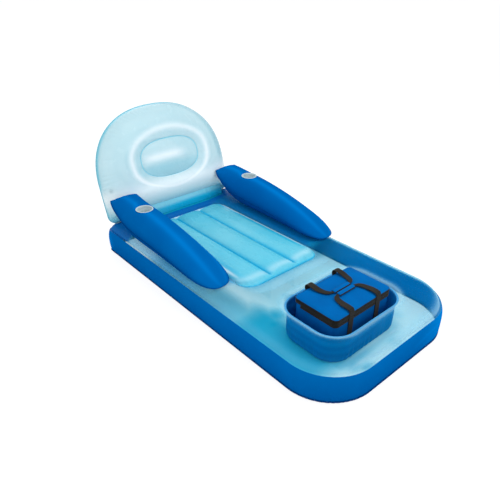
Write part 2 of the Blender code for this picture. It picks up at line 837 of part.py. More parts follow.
def back_corner(outline, i, ring, face):
    """Ring 0 is the oval's centre. Rings run out over the dome to the crease, then to the weld."""
    a, s = outline[i % len(outline)]
    oval_a, oval_s = oval_point(a, s)
    dome_last = len(DOME_SHARES) - 1
    if ring <= dome_last:
        share = DOME_SHARES[ring]
        depth = CREASE_DEPTH + OVAL_DOME * (1 - share * share)
        a, s = oval_a * share, lerp(OVAL_S, oval_s, share)
    else:
        share = RING_SHARES[ring - dome_last - 1]
        bulge = RING_BULGE * math.sin(math.pi * share)
        depth = CREASE_DEPTH * math.sqrt(max(0, 1 - share * share)) + bulge
        a, s = lerp(oval_a, a, share), lerp(oval_s, s, share)
    return back_place(a, s, face * max(SEAM_GAP / 2, depth))


def make_backrest():
    outline = back_outline()
    count = len(outline)
    rings = len(DOME_SHARES) + len(RING_SHARES) - 1

    def front_place(i, j):
        return back_corner(outline, i, j, 1)

    def rear_place(i, j):
        return back_corner(outline, i, j, -1)

    front = sheet("backrest_front_sheet", count, rings, front_place, FILM, -1, WHITE_FILM)
    rear = sheet("backrest_back_sheet", count, rings, rear_place, FILM, 1, WHITE_FILM)

    side = ARCH_STEPS + 1
    corners = [
        rear_place(side, rings - 3),
        rear_place(side - 1, rings - 3),
        rear_place(side - 1, rings - 2),
        rear_place(side, rings - 2),
    ]
    valve, cap = make_valve("backrest_valve", rear, stand_on(corners, -TO_SEAT, BACK_VALVE_LIFT))

    def beam_place(i, j):
        a, s = oval_point(*outline[i % count])
        return back_place(a, s, (CREASE_DEPTH - SEAM_GAP) * (2 * j - 1))

    beam = sheet("backrest_ring_beam", count, 1, beam_place, FILM, -1, WHITE_FILM)
    pivot("backrest_pivot", BACK_FOOT, front, rear, valve, cap, beam, make_gusset(outline))


def make_gusset(outline):
    """A strip from the deck up to the front sheet, bulged towards the seat."""
    first = ARCH_STEPS + 1 + CORNER_STEPS
    ring = len(DOME_SHARES) + len(RING_SHARES) - 1 - (len(RING_SHARES) - GUSSET_RING)
    lift = TO_SEAT * (FILM + 2 * SEAM_GAP)

    def place(i, j):
        head = back_corner(outline, first + i, ring, 1) + lift
        foot = Vector((head.x, GUSSET_Y, CREST_Z + SEAM_GAP))
        share = j / GUSSET_STEPS
        swell = Vector((0, -GUSSET_BULGE * math.sin(math.pi * share), 0))
        return foot.lerp(head, share) + swell

    return sheet("backrest_gusset", FOOT_STEPS, GUSSET_STEPS, place, FILM, 1, CYAN)


# Cooler bag

BAG_FLOOR_Z = WELL_FLOOR_Z + SEAM_GAP
LID_BASE_Z = BAG_RIM_Z + LID_GAP


def bag_skin(name, levels, finish):
    """A closed form round the bag's plan through (inset, height) levels."""
    rows = even_rows(BAG_PLAN, BAG_CORNER_STEPS)
    centre = (BAG_LOW_Y + BAG_HIGH_Y) / 2
    loops = [plan_loop(BAG_PLAN, [], rows, inset) for inset, _ in levels]
    count = len(loops[0])
    last = len(levels) + 1

    def place(i, j):
        if j in (0, last):
            height = levels[0][1] if j == 0 else levels[-1][1]
            return Vector((0, centre, height))
        x, y = loops[j - 1][i % count]
        return Vector((x, y, levels[j - 1][1]))

    return skin(name, count, last, place, finish)


def make_bag_shell():
    inner = BAG_FLOOR_Z + BAG_WALL
    body = [
        (BAG_FOOT_ROUND, BAG_FLOOR_Z),
        (0, BAG_FLOOR_Z + BAG_FOOT_ROUND),
        (0, BAG_RIM_Z),
        (BAG_WALL, BAG_RIM_Z),
        (BAG_WALL, inner + BAG_FOOT_ROUND),
        (BAG_WALL + BAG_FOOT_ROUND, inner),
    ]
    body = bag_skin("cooler_body", body, BAG_BLUE)
    out = BAG_WALL + SEAM_GAP
    low = inner + SEAM_GAP
    liner = [
        (out + BAG_FOOT_ROUND, low),
        (out, low + BAG_FOOT_ROUND),
        (out, BAG_RIM_Z),
        (out + LINER_WALL, BAG_RIM_Z),
        (out + LINER_WALL, low + LINER_WALL + BAG_FOOT_ROUND),
        (out + LINER_WALL + BAG_FOOT_ROUND, low + LINER_WALL),
    ]
    liner = bag_skin("cooler_liner", liner, FOIL)
    lid = [
        (LID_WALL + LID_EDGE_INSET, LID_EDGE_Z - LID_ROOF),
        (LID_WALL, LID_BASE_Z),
        (0, LID_BASE_Z),
        (0, LID_SKIRT_Z),
        (LID_EDGE_INSET, LID_EDGE_Z),
        (LID_CROWN_INSET, LID_CROWN_Z),
    ]
    return body, liner, bag_skin("cooler_lid", lid, BAG_BLUE)


def zip_tape(name, low_z, high_z):
    """A band on the left, foot and right sides, open at the hinge side."""
    rear = BAG_HIGH_Y - BAG_RADIUS - TAPE_REAR_CLEARANCE
    rows = [y for y in even_rows(BAG_PLAN, BAG_CORNER_STEPS) if y < rear] + [rear]
    right = [plan_corner(BAG_PLAN, BAG_HALF_X, y, -SEAM_GAP) for y in rows]
    left = [(-x, y) for x, y in reversed(right)]
    path = left + right

    def place(i, j):
        x, y = path[i]
        return Vector((x, y, (low_z, high_z)[j]))

    return sheet(name, len(path) - 1, 1, place, TAPE, 1, WEBBING)


def make_zip():
    lower_top = BAG_RIM_Z - SEAM_GAP
    upper_low = LID_BASE_Z + SEAM_GAP
    lower = zip_tape("zip_tape_lower", lower_top - TAPE_HEIGHT, lower_top)
    upper = zip_tape("zip_tape_upper", upper_low, upper_low + TAPE_HEIGHT)
    inner = BAG_HALF_X + TAPE + 2 * SEAM_GAP
    outer = inner + SLIDER_DEPTH
    middle = (lower_top + upper_low) / 2
    slider = block(
        "zip_slider",
        (inner, SLIDER_Y - SLIDER_HALF_Y, middle - SLIDER_REACH),
        (outer, SLIDER_Y + SLIDER_HALF_Y, middle + SLIDER_REACH),
        METAL,
    )
    soften = slider.modifiers.new("bevel", "BEVEL")
    soften.width = SLIDER_BEVEL
    soften.segments = 1
    pull_x = outer + SEAM_GAP
    pull = block(
        "zip_pull",
        (pull_x, SLIDER_Y - PULL_HALF_Y, PULL_PIVOT_Z - PULL_LENGTH),
        (pull_x + PULL_THICK, SLIDER_Y + PULL_HALF_Y, PULL_PIVOT_Z + PULL_HEAD),
        METAL,
    )
    pull_pivot = pivot("zip_pull_pivot", (pull_x + PULL_THICK / 2, SLIDER_Y, PULL_PIVOT_Z), pull)
    slide = pivot("zip_slide", ((inner + outer) / 2, SLIDER_Y, middle), slider, pull_pivot)
    return lower, upper, slide


GRIP_Z = LID_CROWN_Z + SEAM_GAP + GRIP_PAD + STRAP


def handle(name, start, grip_y):
    """One webbing loop: up one arm, across through the grip, and down the other arm."""
    inward = math.copysign(1, start[0][1] - grip_y)
    middles = [Vector(point) for point in start]
    middles.append(Vector((STRAP_X, lerp(start[-1][1], grip_y, 0.5), GRIP_Z)))
    middles.append(Vector((GRIP_HALF_X + GRIP_TURN, grip_y + inward * GRIP_TURN, GRIP_Z)))
    halves = [Vector((STRAP_HALF, 0, 0)) for _ in middles]
    halves[-1] = Vector((1, -inward, 0)).normalized() * (STRAP_HALF + GRIP_BAR_HALF) / 2
    for step in range(GRIP_SPAN_STEPS + 1):
        middles.append(Vector((lerp(GRIP_HALF_X, 0, step / GRIP_SPAN_STEPS), grip_y, GRIP_Z)))
        halves.append(Vector((0, -inward * GRIP_BAR_HALF, 0)))
    mirror = Vector((-1, 1, 1))
    path = list(zip(middles, halves))
    path += [(middle * mirror, half * mirror) for middle, half in path[-2::-1]]

    def place(i, j):
        middle, half = path[i]
        return middle + half * (2 * j - 1)

    return sheet(name, len(path) - 1, 1, place, STRAP, 0, WEBBING)


def grip(name, grip_y):
    """A padded sleeve round the middle of a handle, open at both ends."""
    half_y = GRIP_BAR_HALF + 2 * SEAM_GAP
    half_z = STRAP / 2 + 2 * SEAM_GAP

    def place(i, j):
        turn = 2 * math.pi * i / GRIP_SIDES
        swell_y = math.copysign(abs(math.cos(turn)) ** 0.5, math.cos(turn))
        swell_z = math.copysign(abs(math.sin(turn)) ** 0.5, math.sin(turn))
        x = lerp(-GRIP_HALF_X, GRIP_HALF_X, j) * GRIP_LENGTH_SHARE
        return Vector((x, grip_y + half_y * swell_y, GRIP_Z + half_z * swell_z))

    return sheet(name, GRIP_SIDES, 1, place, GRIP_PAD, 1, BAG_BLUE)


def make_carrying():
    strap_y = BAG_LOW_Y - SEAM_GAP - TAPE - SEAM_GAP
    rear_y = BAG_HIGH_Y + SEAM_GAP
    straps = []
    for name, side in (("left", -1), ("right", 1)):
        low_x, high_x = side * STRAP_X - STRAP_HALF, side * STRAP_X + STRAP_HALF
        low = (low_x, strap_y - STRAP, STRAP_LOW_Z)
        high = (high_x, strap_y, FRONT_STRAP_TOP_Z)
        straps.append(block("front_strap_" + name, low, high, WEBBING))
        low = (low_x, rear_y, STRAP_LOW_Z)
        high = (high_x, rear_y + STRAP, REAR_STRAP_TOP_Z)
        straps.append(block("rear_strap_" + name, low, high, WEBBING))
    front_y = strap_y - STRAP / 2
    front_start = [
        (STRAP_X, front_y, FRONT_STRAP_TOP_Z + HANDLE_SEAT_GAP),
        (STRAP_X, front_y, LID_EDGE_Z),
        (STRAP_X, BAG_LOW_Y + STRAP, GRIP_Z - STRAP),
        (STRAP_X, BAG_LOW_Y + STRAP_HALF, GRIP_Z),
    ]
    front = handle("front_handle", front_start, FRONT_GRIP_Y)
    hump_y = rear_y + STRAP / 2
    rear_start = [
        (STRAP_X, hump_y, LID_BASE_Z + REAR_HANDLE_LIFT),
        (STRAP_X, hump_y + HUMP_REACH, LID_EDGE_Z),
        (STRAP_X, hump_y + HUMP_REACH / 2, GRIP_Z + HUMP_RISE / 2),
        (STRAP_X, BAG_HIGH_Y - STRAP_HALF, GRIP_Z + HUMP_RISE / 2),
    ]
    rear = handle("rear_handle", rear_start, REAR_GRIP_Y)
    front_grip = grip("front_grip", FRONT_GRIP_Y)
    rear_grip = grip("rear_grip", REAR_GRIP_Y)
    front_turn = (STRAP_X, front_y, FRONT_STRAP_TOP_Z + HANDLE_SEAT_GAP + HANDLE_PIVOT_RISE)
    front_pivot = pivot("front_handle_pivot", front_turn, front, front_grip)
    rear_pivot = pivot("rear_handle_pivot", rear_start[0], rear, rear_grip)
    return straps, front_pivot, rear_pivot


def make_bag():
    body, liner, lid = make_bag_shell()
    lower, upper, slide = make_zip()
    straps, front_handle, rear_handle = make_carrying()
    lid_pivot = pivot("lid_pivot", (0, BAG_HIGH_Y, LID_BASE_Z), lid, upper, rear_handle)
    middle = (BAG_LOW_Y + BAG_HIGH_Y) / 2
    moved = [body, liner, lower, *straps, slide, front_handle, lid_pivot]
    pivot("bag_lift", (0, middle, BAG_FLOOR_Z), *moved)


base_wall = make_base()
make_seat()
make_well()
make_base_valve(base_wall)
make_armrest("left", -1)
make_armrest("right", 1)
make_backrest()
make_bag()
bpy.context.view_layer.update()
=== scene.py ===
import bmesh
import bpy
import math
import numpy as np
from mathutils import Matrix, Vector
from mathutils.bvhtree import BVHTree


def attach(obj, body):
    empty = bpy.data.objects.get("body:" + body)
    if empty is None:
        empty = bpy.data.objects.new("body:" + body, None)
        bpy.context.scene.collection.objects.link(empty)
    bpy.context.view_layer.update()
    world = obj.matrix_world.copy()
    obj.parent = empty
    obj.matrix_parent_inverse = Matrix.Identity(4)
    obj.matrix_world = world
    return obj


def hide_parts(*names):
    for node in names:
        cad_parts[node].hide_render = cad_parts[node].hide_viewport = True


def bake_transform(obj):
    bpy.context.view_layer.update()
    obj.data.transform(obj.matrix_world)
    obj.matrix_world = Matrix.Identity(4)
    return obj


# Pool air mattress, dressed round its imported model. Metres, +Z up, +Y towards the head end.
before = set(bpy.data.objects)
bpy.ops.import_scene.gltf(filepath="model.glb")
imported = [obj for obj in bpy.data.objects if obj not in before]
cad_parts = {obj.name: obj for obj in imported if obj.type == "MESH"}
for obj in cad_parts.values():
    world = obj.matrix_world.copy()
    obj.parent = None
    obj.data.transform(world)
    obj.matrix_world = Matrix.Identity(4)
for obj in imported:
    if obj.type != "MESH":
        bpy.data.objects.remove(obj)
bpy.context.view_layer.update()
print("frame loaded")

# Plans: half width, low and high y, corner radius at the low and at the high end
basePlan = (0.42, -0.805, 0.805, 0.215, 0.05)
seatPlan = (0.235, -0.165, 0.645, 0.07, 0.07)
wellPlan = (0.228, -0.648, -0.330, 0.10, 0.10)
bagPlan = (0.175, -0.60, -0.38, 0.026, 0.026)
lidPlan = (0.1765, -0.6015, -0.3785, 0.021, 0.021)


# Numbers and shapes

def lerp(a, b, share):
    return a + (b - a) * share


def smoothStep(low, high, value):
    # 0 below low, 1 above high, and a soft S between
    share = np.clip((value - low) / (high - low), 0, 1)
    return share * share * (3 - 2 * share)


def quarterRound(share):
    # the height of a quarter circle, 0 at its foot and 1 from its crest on
    return np.sqrt(np.clip(1 - (1 - np.clip(share, 0, 1)) ** 2, 0, 1))


def softMaximum(a, b, blend):
    # the larger of two, rounded where they cross
    return (a + b + np.sqrt((a - b) ** 2 + blend * blend)) / 2


def softMinimum(a, b, blend):
    return -softMaximum(-a, -b, blend)


def eased(rows):
    # a column of shares from 0 to 1, close together at both ends
    return (1 - np.cos(np.linspace(0, np.pi, rows)))[:, None] / 2


def turns(sides):
    # angles once round
    return np.linspace(0, 2 * np.pi, sides, endpoint=False)


def sharp(value, power):
    # a power that keeps the sign: it squares off a circle's sine and cosine
    return np.sign(value) * np.abs(value) ** power


def arch(across, power, root):
    # an arch's height: 1 at the middle, 0 at -1 and 1
    return np.clip(1 - np.abs(across) ** power, 0, 1) ** root


def humped(value, start, length):
    # a half sine over a length, 0 outside it
    return np.sin(np.clip((value - start) / length, 0, 1) * np.pi)


def bump(distance, reach):
    # 0 at a weld, 1 at reach from it, and fading further off
    share = np.maximum(distance, 0) / reach
    return share * np.exp(1 - share)


def bothEnds(share, reach):
    return bump(share, reach) + bump(1 - share, reach)


def bell(distance, width):
    # 1 at no distance, and a bell curve down to almost nothing at twice the width
    return np.exp(-(distance / width) ** 2)


def mark(value, strength, place, width):
    # a soft mark: its strength at the place, fading to both sides
    return strength * bell(value - place, width)


def spot(x, y, place, width):
    return bell(np.hypot(x - place[0], y - place[1]), width)


def patch(strength, *edges):
    # a soft-edged patch: its strength times a soft step for each (value, low, high)
    for value, low, high in edges:
        strength = strength * smoothStep(low, high, value)
    return strength


def strongest(*marks):
    return np.maximum.reduce(np.broadcast_arrays(*marks))


def depthIn(plan, x, y, blend=0.0):
    # how deep a point lies inside a rounded oblong: its corner radius less the distance from
    # the corner's centre, or the distance to the nearest side, negative outside
    halfX, low, high, lowRadius, highRadius = plan
    middle = (low + high) / 2
    radius = np.where(y < middle, lowRadius, highRadius)
    overX = np.abs(x) - (halfX - radius)
    overY = np.abs(y - middle) - ((high - low) / 2 - radius)
    outside = np.hypot(np.maximum(overX, 0), np.maximum(overY, 0))
    return radius - outside - np.minimum(softMaximum(overX, overY, blend), 0)


def middleOf(plan):
    return 0.0, (plan[1] + plan[2]) / 2


def lengthAlong(points):
    # how far along a path each of its points lies
    return np.concatenate([[0], np.cumsum(np.linalg.norm(np.diff(points, axis=0), axis=1))])


def outline(plan, spacing):
    # points round a rounded oblong, anticlockwise from the middle of its low end, with their
    # outward directions and their lengths along it: a centre that moves along the sides and a
    # radius that turns at the corners
    halfX, low, high, lowRadius, highRadius = plan
    lowX, highX = halfX - lowRadius, halfX - highRadius
    lowY, highY = low + lowRadius, high - highRadius
    stops = np.array([
        (0, lowY, lowRadius, -1), (lowX, lowY, lowRadius, -1), (lowX, lowY, lowRadius, 0),
        (highX, highY, highRadius, 0), (highX, highY, highRadius, 1),
        (-highX, highY, highRadius, 1), (-highX, highY, highRadius, 2),
        (-lowX, lowY, lowRadius, 2), (-lowX, lowY, lowRadius, 3), (0, lowY, lowRadius, 3)])
    turns = stops[:, 3] * np.pi / 2
    ends = stops[:, :2] + stops[:, 2:3] * np.stack([np.cos(turns), np.sin(turns)], 1)
    straight = np.hypot(*np.diff(ends, axis=0).T)
    lengths = np.where(np.diff(turns) > 0, np.diff(turns) * stops[:-1, 2], straight)
    marks = np.concatenate([[0], np.cumsum(lengths)])
    run = np.linspace(0, marks[-1], round(marks[-1] / spacing), endpoint=False)
    centreX, centreY, radius = (np.interp(run, marks, column) for column in stops[:, :3].T)
    turn = np.interp(run, marks, turns)
    outward = np.stack([np.cos(turn), np.sin(turn)], 1)
    points = np.stack([centreX, centreY], 1) + radius[:, None] * outward
    return points, outward, run, marks[-1]


def ripples(run, total, seed, wavelength, spread=0.35, waves=9):
    # a sum of whole sine waves round a closed edge, each near the wavelength, about -1 to 1
    dice = np.random.default_rng(seed)
    counts = np.round(total / (wavelength * (1 + spread * dice.uniform(-1, 1, waves))))
    turns = dice.uniform(0, 2 * np.pi, waves)
    heights = dice.uniform(0.5, 1, waves)
    angles = 2 * np.pi * np.multiply.outer(np.asarray(run) / total, counts) + turns
    return (np.sin(angles) * heights).sum(-1) / (0.9 * np.sqrt((heights ** 2).sum()))


def gathers(run, total, seed, wavelength, slow, steady=0.55, slowSeed=None):
    # ripples that come and go: fine waves, stronger and weaker along a slow one
    slowSeed = seed + 1 if slowSeed is None else slowSeed
    come = steady + (1 - steady) * ripples(run, total, slowSeed, slow)
    return ripples(run, total, seed, wavelength) * come


def scallops(run, total, seed, wavelength):
    # rounded swells with sharp creases between: the size of a sine whose steps wander
    wander = 1.1 * ripples(run, total, seed, wavelength * 5)
    return np.abs(np.sin(np.pi * round(total / wavelength) * np.asarray(run) / total + wander))


def smoothPath(points, count):
    # a curve through the points: cubic pieces whose slopes come from the neighbours
    points = np.asarray(points, float)
    steps = np.maximum(np.linalg.norm(np.diff(points[:, :3], axis=0), axis=1), 1e-6)
    knots = np.concatenate([[0], np.cumsum(steps)])
    slopes = np.gradient(points, knots, axis=0)
    at = np.linspace(0, knots[-1], count)
    k = np.clip(np.searchsorted(knots, at, side="right") - 1, 0, len(knots) - 2)
    width = (knots[k + 1] - knots[k])[:, None]
    t = (at - knots[k])[:, None] / width
    return ((2 * t ** 3 - 3 * t ** 2 + 1) * points[k] + (t ** 3 - 2 * t ** 2 + t) * width * slopes[k]
            + (3 * t ** 2 - 2 * t ** 3) * points[k + 1] + (t ** 3 - t ** 2) * width * slopes[k + 1])


def point(x, y, z):
    # places from three coordinates, each a number or a table of them
    return np.stack(np.broadcast_arrays(x, y, z), -1).astype(float)


def setIn(points, outward, inset, height):
    # an outline drawn in by an inset, at a height
    return point(points[:, 0] - outward[:, 0] * inset, points[:, 1] - outward[:, 1] * inset, height)


def carried(plan, profile, spacing):
    # a profile of (inset, height) carried round a plan, with a row of points for each step of it
    points, outward, run, total = outline(plan, spacing)
    inset, height = np.array(profile, float).T[:, :, None]
    return setIn(points, outward, inset, height), outward, run, total


def towards(middle, ring, count):
    # rows of points from a ring in to its middle, at the ring's own heights
    rows = np.repeat(ring[None], count, 0)
    rows[..., :2] = lerp(np.array(middle), ring[:, :2], np.linspace(1, 0, count)[:, None, None])
    return rows


# Meshes

def gridQuads(rows, columns, wrapRows, wrapColumns):
    # the corners of each face of a grid of points, with its place in the grid
    i, j = np.meshgrid(np.arange(rows - (not wrapRows)), np.arange(columns - (not wrapColumns)),
                       indexing="ij")
    i, j = i.ravel(), j.ravel()
    places = np.stack([i, i, i + 1, i + 1], 1), np.stack([j, j + 1, j + 1, j], 1)
    return places[0] % rows * columns + places[1] % columns, places


def grid(points, wrapRows=False, wrapColumns=False, uv=None, weld=0, pale=0):
    # a grid of points, with its lengths along both ways (uv, one longer where it wraps), how
    # strongly each point takes the film's weld colour (welds, painted shade, and on the well a painted
    # highlight at the lip) and its pale colour (painted highlights)
    return dict(points=points, wraps=(wrapRows, wrapColumns), uv=uv, weld=weld, pale=pale)


def lengthsUv(around, along):
    # lengths both ways at each point of a grid
    return np.stack(np.broadcast_arrays(around, np.asarray(along)[:, None]), -1)


def linked(name, data):
    # a new object in the scene
    piece = bpy.data.objects.new(name, data)
    bpy.context.scene.collection.objects.link(piece)
    return piece


def smoothed(mesh, crease):
    mesh.shade_smooth()
    mesh.set_sharp_from_angle(angle=math.radians(crease))


def turnOutwards(mesh, merge=0, fill=False, inside=None):
    # points that fall together are merged, an open end is closed where that is asked for, and the
    # faces are turned outwards, or for an open sheet away from the point inside
    build = bmesh.new()
    build.from_mesh(mesh)
    if merge:
        bmesh.ops.remove_doubles(build, verts=build.verts, dist=merge)
    openEdges = [edge for edge in build.edges if edge.is_boundary]
    if fill and openEdges:
        bmesh.ops.holes_fill(build, edges=openEdges)
    bmesh.ops.recalc_face_normals(build, faces=build.faces)
    if inside is not None:
        ahead = sum((face.calc_center_median() - Vector(inside)).dot(face.normal) * face.calc_area()
                    for face in build.faces)
        if ahead < 0:
            bmesh.ops.reverse_faces(build, faces=build.faces)
    build.to_mesh(mesh)
    build.free()


def makePiece(name, grids, inside=None, crease=40, merge=1e-6):
    # one mesh from several grids of points
    points, quads, uvs, marks, first = [], [], [], dict(weld=[], pale=[]), 0
    for part in grids:
        shape = part["points"].shape[:2]
        corners, (i, j) = gridQuads(*shape, *part["wraps"])
        points.append(part["points"].reshape(-1, 3))
        quads.append(corners + first)
        uv = part["uv"]
        uvs.append(np.zeros((*corners.shape, 2)) if uv is None else uv[i, j])
        for kind, values in marks.items():
            values.append(np.clip(np.broadcast_to(part[kind], shape), 0, 1).ravel())
        first += shape[0] * shape[1]
    mesh = bpy.data.meshes.new(name)
    mesh.from_pydata(np.concatenate(points), [], np.concatenate(quads))
    mesh.uv_layers.new(name="UVMap").data.foreach_set("uv", np.concatenate(uvs).ravel())
    for kind, values in marks.items():
        mesh.attributes.new(kind, "FLOAT", "POINT").data.foreach_set("value", np.concatenate(values))
    turnOutwards(mesh, merge, inside=inside)
    smoothed(mesh, crease)
    return linked(name, mesh)


def dress(piece, look, body=None, nodes=()):
    # its finish, what it moves with and what it stands for
    piece.data.materials.clear()
    piece.data.materials.append(material[look])
    if nodes:
        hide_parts(*nodes)
    if body:
        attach(piece, body)
    return piece


def ribbon(name, middle, half, thickness, sides=20, power=0.3):
    # webbing: a flat rounded section carried along a path. half is half its width, as a vector
    half = np.broadcast_to(np.array(half, float), middle.shape)
    tangent = np.gradient(middle, axis=0)
    normal = np.cross(tangent, half)
    normal /= np.linalg.norm(normal, axis=1)[:, None]
    turn = turns(sides)
    across, through = sharp(np.cos(turn), power)[:, None], sharp(np.sin(turn), power)[:, None]
    points = middle[:, None] + half[:, None] * across + normal[:, None] * (thickness / 2) * through
    # each end closed on the path, with the lengths along it and across it
    ends = [end[:, None] + 0 * points[:1] for end in (middle[:1], middle[-1:])]
    length = np.pad(lengthAlong(middle), 1, "edge")
    width = np.pad(np.linalg.norm(half, axis=1), 1, "edge")
    wide = np.append(across, across[0])
    uv = np.stack([length[:, None] + 0 * wide, wide * width[:, None]], -1)
    return makePiece(name, [grid(np.concatenate([ends[0], points, ends[1]]), wrapColumns=True, uv=uv)])


def turnedPiece(name, profile, sides, stand):
    # a profile of (radius, height) turned about the stand's own Z. Radius 0 closes it
    profile = np.array(profile, float)
    radius, height = profile.T[:, :, None]
    turn = turns(sides)
    local = point(radius * np.cos(turn), radius * np.sin(turn), height)
    place = np.array(stand)
    around = np.linspace(0, 1, sides + 1) * 2 * np.pi * np.max(radius)
    uv = lengthsUv(around, lengthAlong(profile))
    return makePiece(name, [grid(local @ place[:3, :3].T + place[:3, 3], wrapColumns=True, uv=uv)])


def standOn(place, axis):
    # a frame at place whose Z is the axis
    axis = Vector(axis).normalized()
    return Matrix.Translation(place) @ axis.to_track_quat("Z", "Y").to_matrix().to_4x4()


# Materials

def newMaterial(name):
    material = bpy.data.materials.new(name)
    material.use_nodes = True
    return material, material.node_tree, material.node_tree.nodes["Principled BSDF"]


def addNode(tree, kind, inputs, **settings):
    node = tree.nodes.new("ShaderNode" + kind)
    for key, value in settings.items():
        setattr(node, key, value)
    for key, value in inputs.items():
        if isinstance(value, bpy.types.NodeSocket):
            tree.links.new(value, node.inputs[key])
        else:
            node.inputs[key].default_value = value
    return node


def noise(tree, scale, detail=3.0, stretch=(1, 1, 1), source="Object"):
    coordinates = addNode(tree, "TexCoord", {}).outputs[source]
    mapped = addNode(tree, "Mapping", {"Vector": coordinates, "Scale": stretch}).outputs[0]
    return addNode(tree, "TexNoise", {"Vector": mapped, "Scale": scale, "Detail": detail}).outputs[0]


def ranged(tree, value, low, high, fromLow=0.3, fromHigh=0.7):
    return addNode(tree, "MapRange", {"Value": value, "From Min": fromLow, "From Max": fromHigh,
                                      "To Min": low, "To Max": high}).outputs[0]


def mixColour(tree, share, first, second):
    node = tree.nodes.new("ShaderNodeMix")
    node.data_type = "RGBA"
    for key, value in (("Factor_Float", share), ("A_Color", first), ("B_Color", second)):
        socket = next(s for s in node.inputs if s.identifier == key)
        if isinstance(value, bpy.types.NodeSocket):
            tree.links.new(value, socket)
        else:
            socket.default_value = value if key == "Factor_Float" else (*value, 1)
    return next(s for s in node.outputs if s.identifier == "Result_Color")


def math1(tree, operation, first, second):
    return addNode(tree, "Math", {0: first, 1: second}, operation=operation).outputs[0]


# a film's own colour and mottling, its colour along the welds and in painted shade, its colour in
# painted highlights, the tint of the light that comes through it, and how much of it the film, a slant,
# a weld or painted shade, or a painted highlight stops
films = {
    "deepBlue": dict(colour=(0.0, 0.108, 0.385), mottle=(0.0, 0.124, 0.420),
                     weld=(0.0, 0.050, 0.220), pale=(0.0, 0.265, 0.790),
                     opacity=1.0, rough=(0.34, 0.44), gloss=0.0),
    # wellBlue's weld colour is the lighter colour of the painted highlight at the lip
    "wellBlue": dict(colour=(0.0, 0.122, 0.450), mottle=(0.0, 0.138, 0.480),
                     weld=(0.08, 0.38, 0.76), pale=(0.0, 0.250, 0.660),
                     opacity=1.0, rough=(0.30, 0.40), gloss=0.02),
    "clearBlue": dict(colour=(0.0, 0.48, 0.84), mottle=(0.02, 0.54, 0.86),
                      weld=(0.0, 0.125, 0.430), pale=(0.56, 0.84, 0.95),
                      tint=(0.78, 0.965, 0.99), weldTint=(0.2, 0.5, 0.85),
                      opacity=0.08, edge=0.22, cover=0.92, highlightCover=0.62, rough=(0.22, 0.34), gloss=0.04),
    "seatBlue": dict(colour=(0.08, 0.62, 0.84), mottle=(0.15, 0.68, 0.86),
                     weld=(0.0, 0.44, 0.70), pale=(0.84, 0.94, 0.98),
                     tint=(0.70, 0.93, 0.98), weldTint=(0.1, 0.65, 0.90),
                     opacity=0.72, edge=0.2, cover=0.28, highlightCover=0.28, rough=(0.22, 0.32), gloss=0.35),
    # floorBlue's weld colour is the painted shade and reflection of the walls on the floor
    "floorBlue": dict(colour=(0.46, 0.78, 0.83), mottle=(0.54, 0.82, 0.86),
                      weld=(0.0, 0.48, 0.70), pale=(0.82, 0.93, 0.96),
                      tint=(0.90, 0.98, 0.99), weldTint=(0.0, 0.64, 0.84),
                      opacity=0.30, edge=0.0, cover=0.68, highlightCover=0.4, rough=(0.3, 0.4), gloss=0.2),
    "whiteFilm": dict(colour=(0.46, 0.73, 0.81), mottle=(0.53, 0.77, 0.84),
                      weld=(0.13, 0.55, 0.70), pale=(0.90, 0.97, 0.99),
                      tint=(0.87, 0.96, 0.98), weldTint=(0.45, 0.84, 0.92),
                      opacity=0.46, edge=0.3, cover=0.42, highlightCover=0.54, rough=(0.2, 0.3), gloss=0.35),
    "cyanFilm": dict(colour=(0.0, 0.52, 0.82), mottle=(0.01, 0.56, 0.86),
                     weld=(0.0, 0.27, 0.42), pale=(0.24, 0.72, 0.88),
                     tint=(0.2, 0.8, 0.95), weldTint=(0.0, 0.4, 0.6),
                     opacity=0.82, edge=0.1, cover=0.1, highlightCover=0.0, rough=(0.2, 0.3), gloss=0.25),
    "webFilm": dict(colour=(0.30, 0.66, 0.84), mottle=(0.36, 0.70, 0.86),
                    weld=(0.1, 0.5, 0.75), pale=(0.8, 0.9, 0.95),
                    tint=(0.92, 0.98, 0.99), weldTint=(0.8, 0.95, 0.98),
                    opacity=0.06, edge=0.10, cover=0.1, highlightCover=0.2, rough=(0.2, 0.3), gloss=0.2),
}
blueGloss = (0.05, 0.40, 1.0, 1)


def raised(tree, shader, strength, distance, height):
    surface = addNode(tree, "Bump", {"Strength": strength, "Distance": distance, "Height": height})
    tree.links.new(surface.outputs[0], shader.inputs["Normal"])


def coloured(tree, shader, share, first, second):
    tree.links.new(mixColour(tree, share, first, second), shader.inputs["Base Color"])


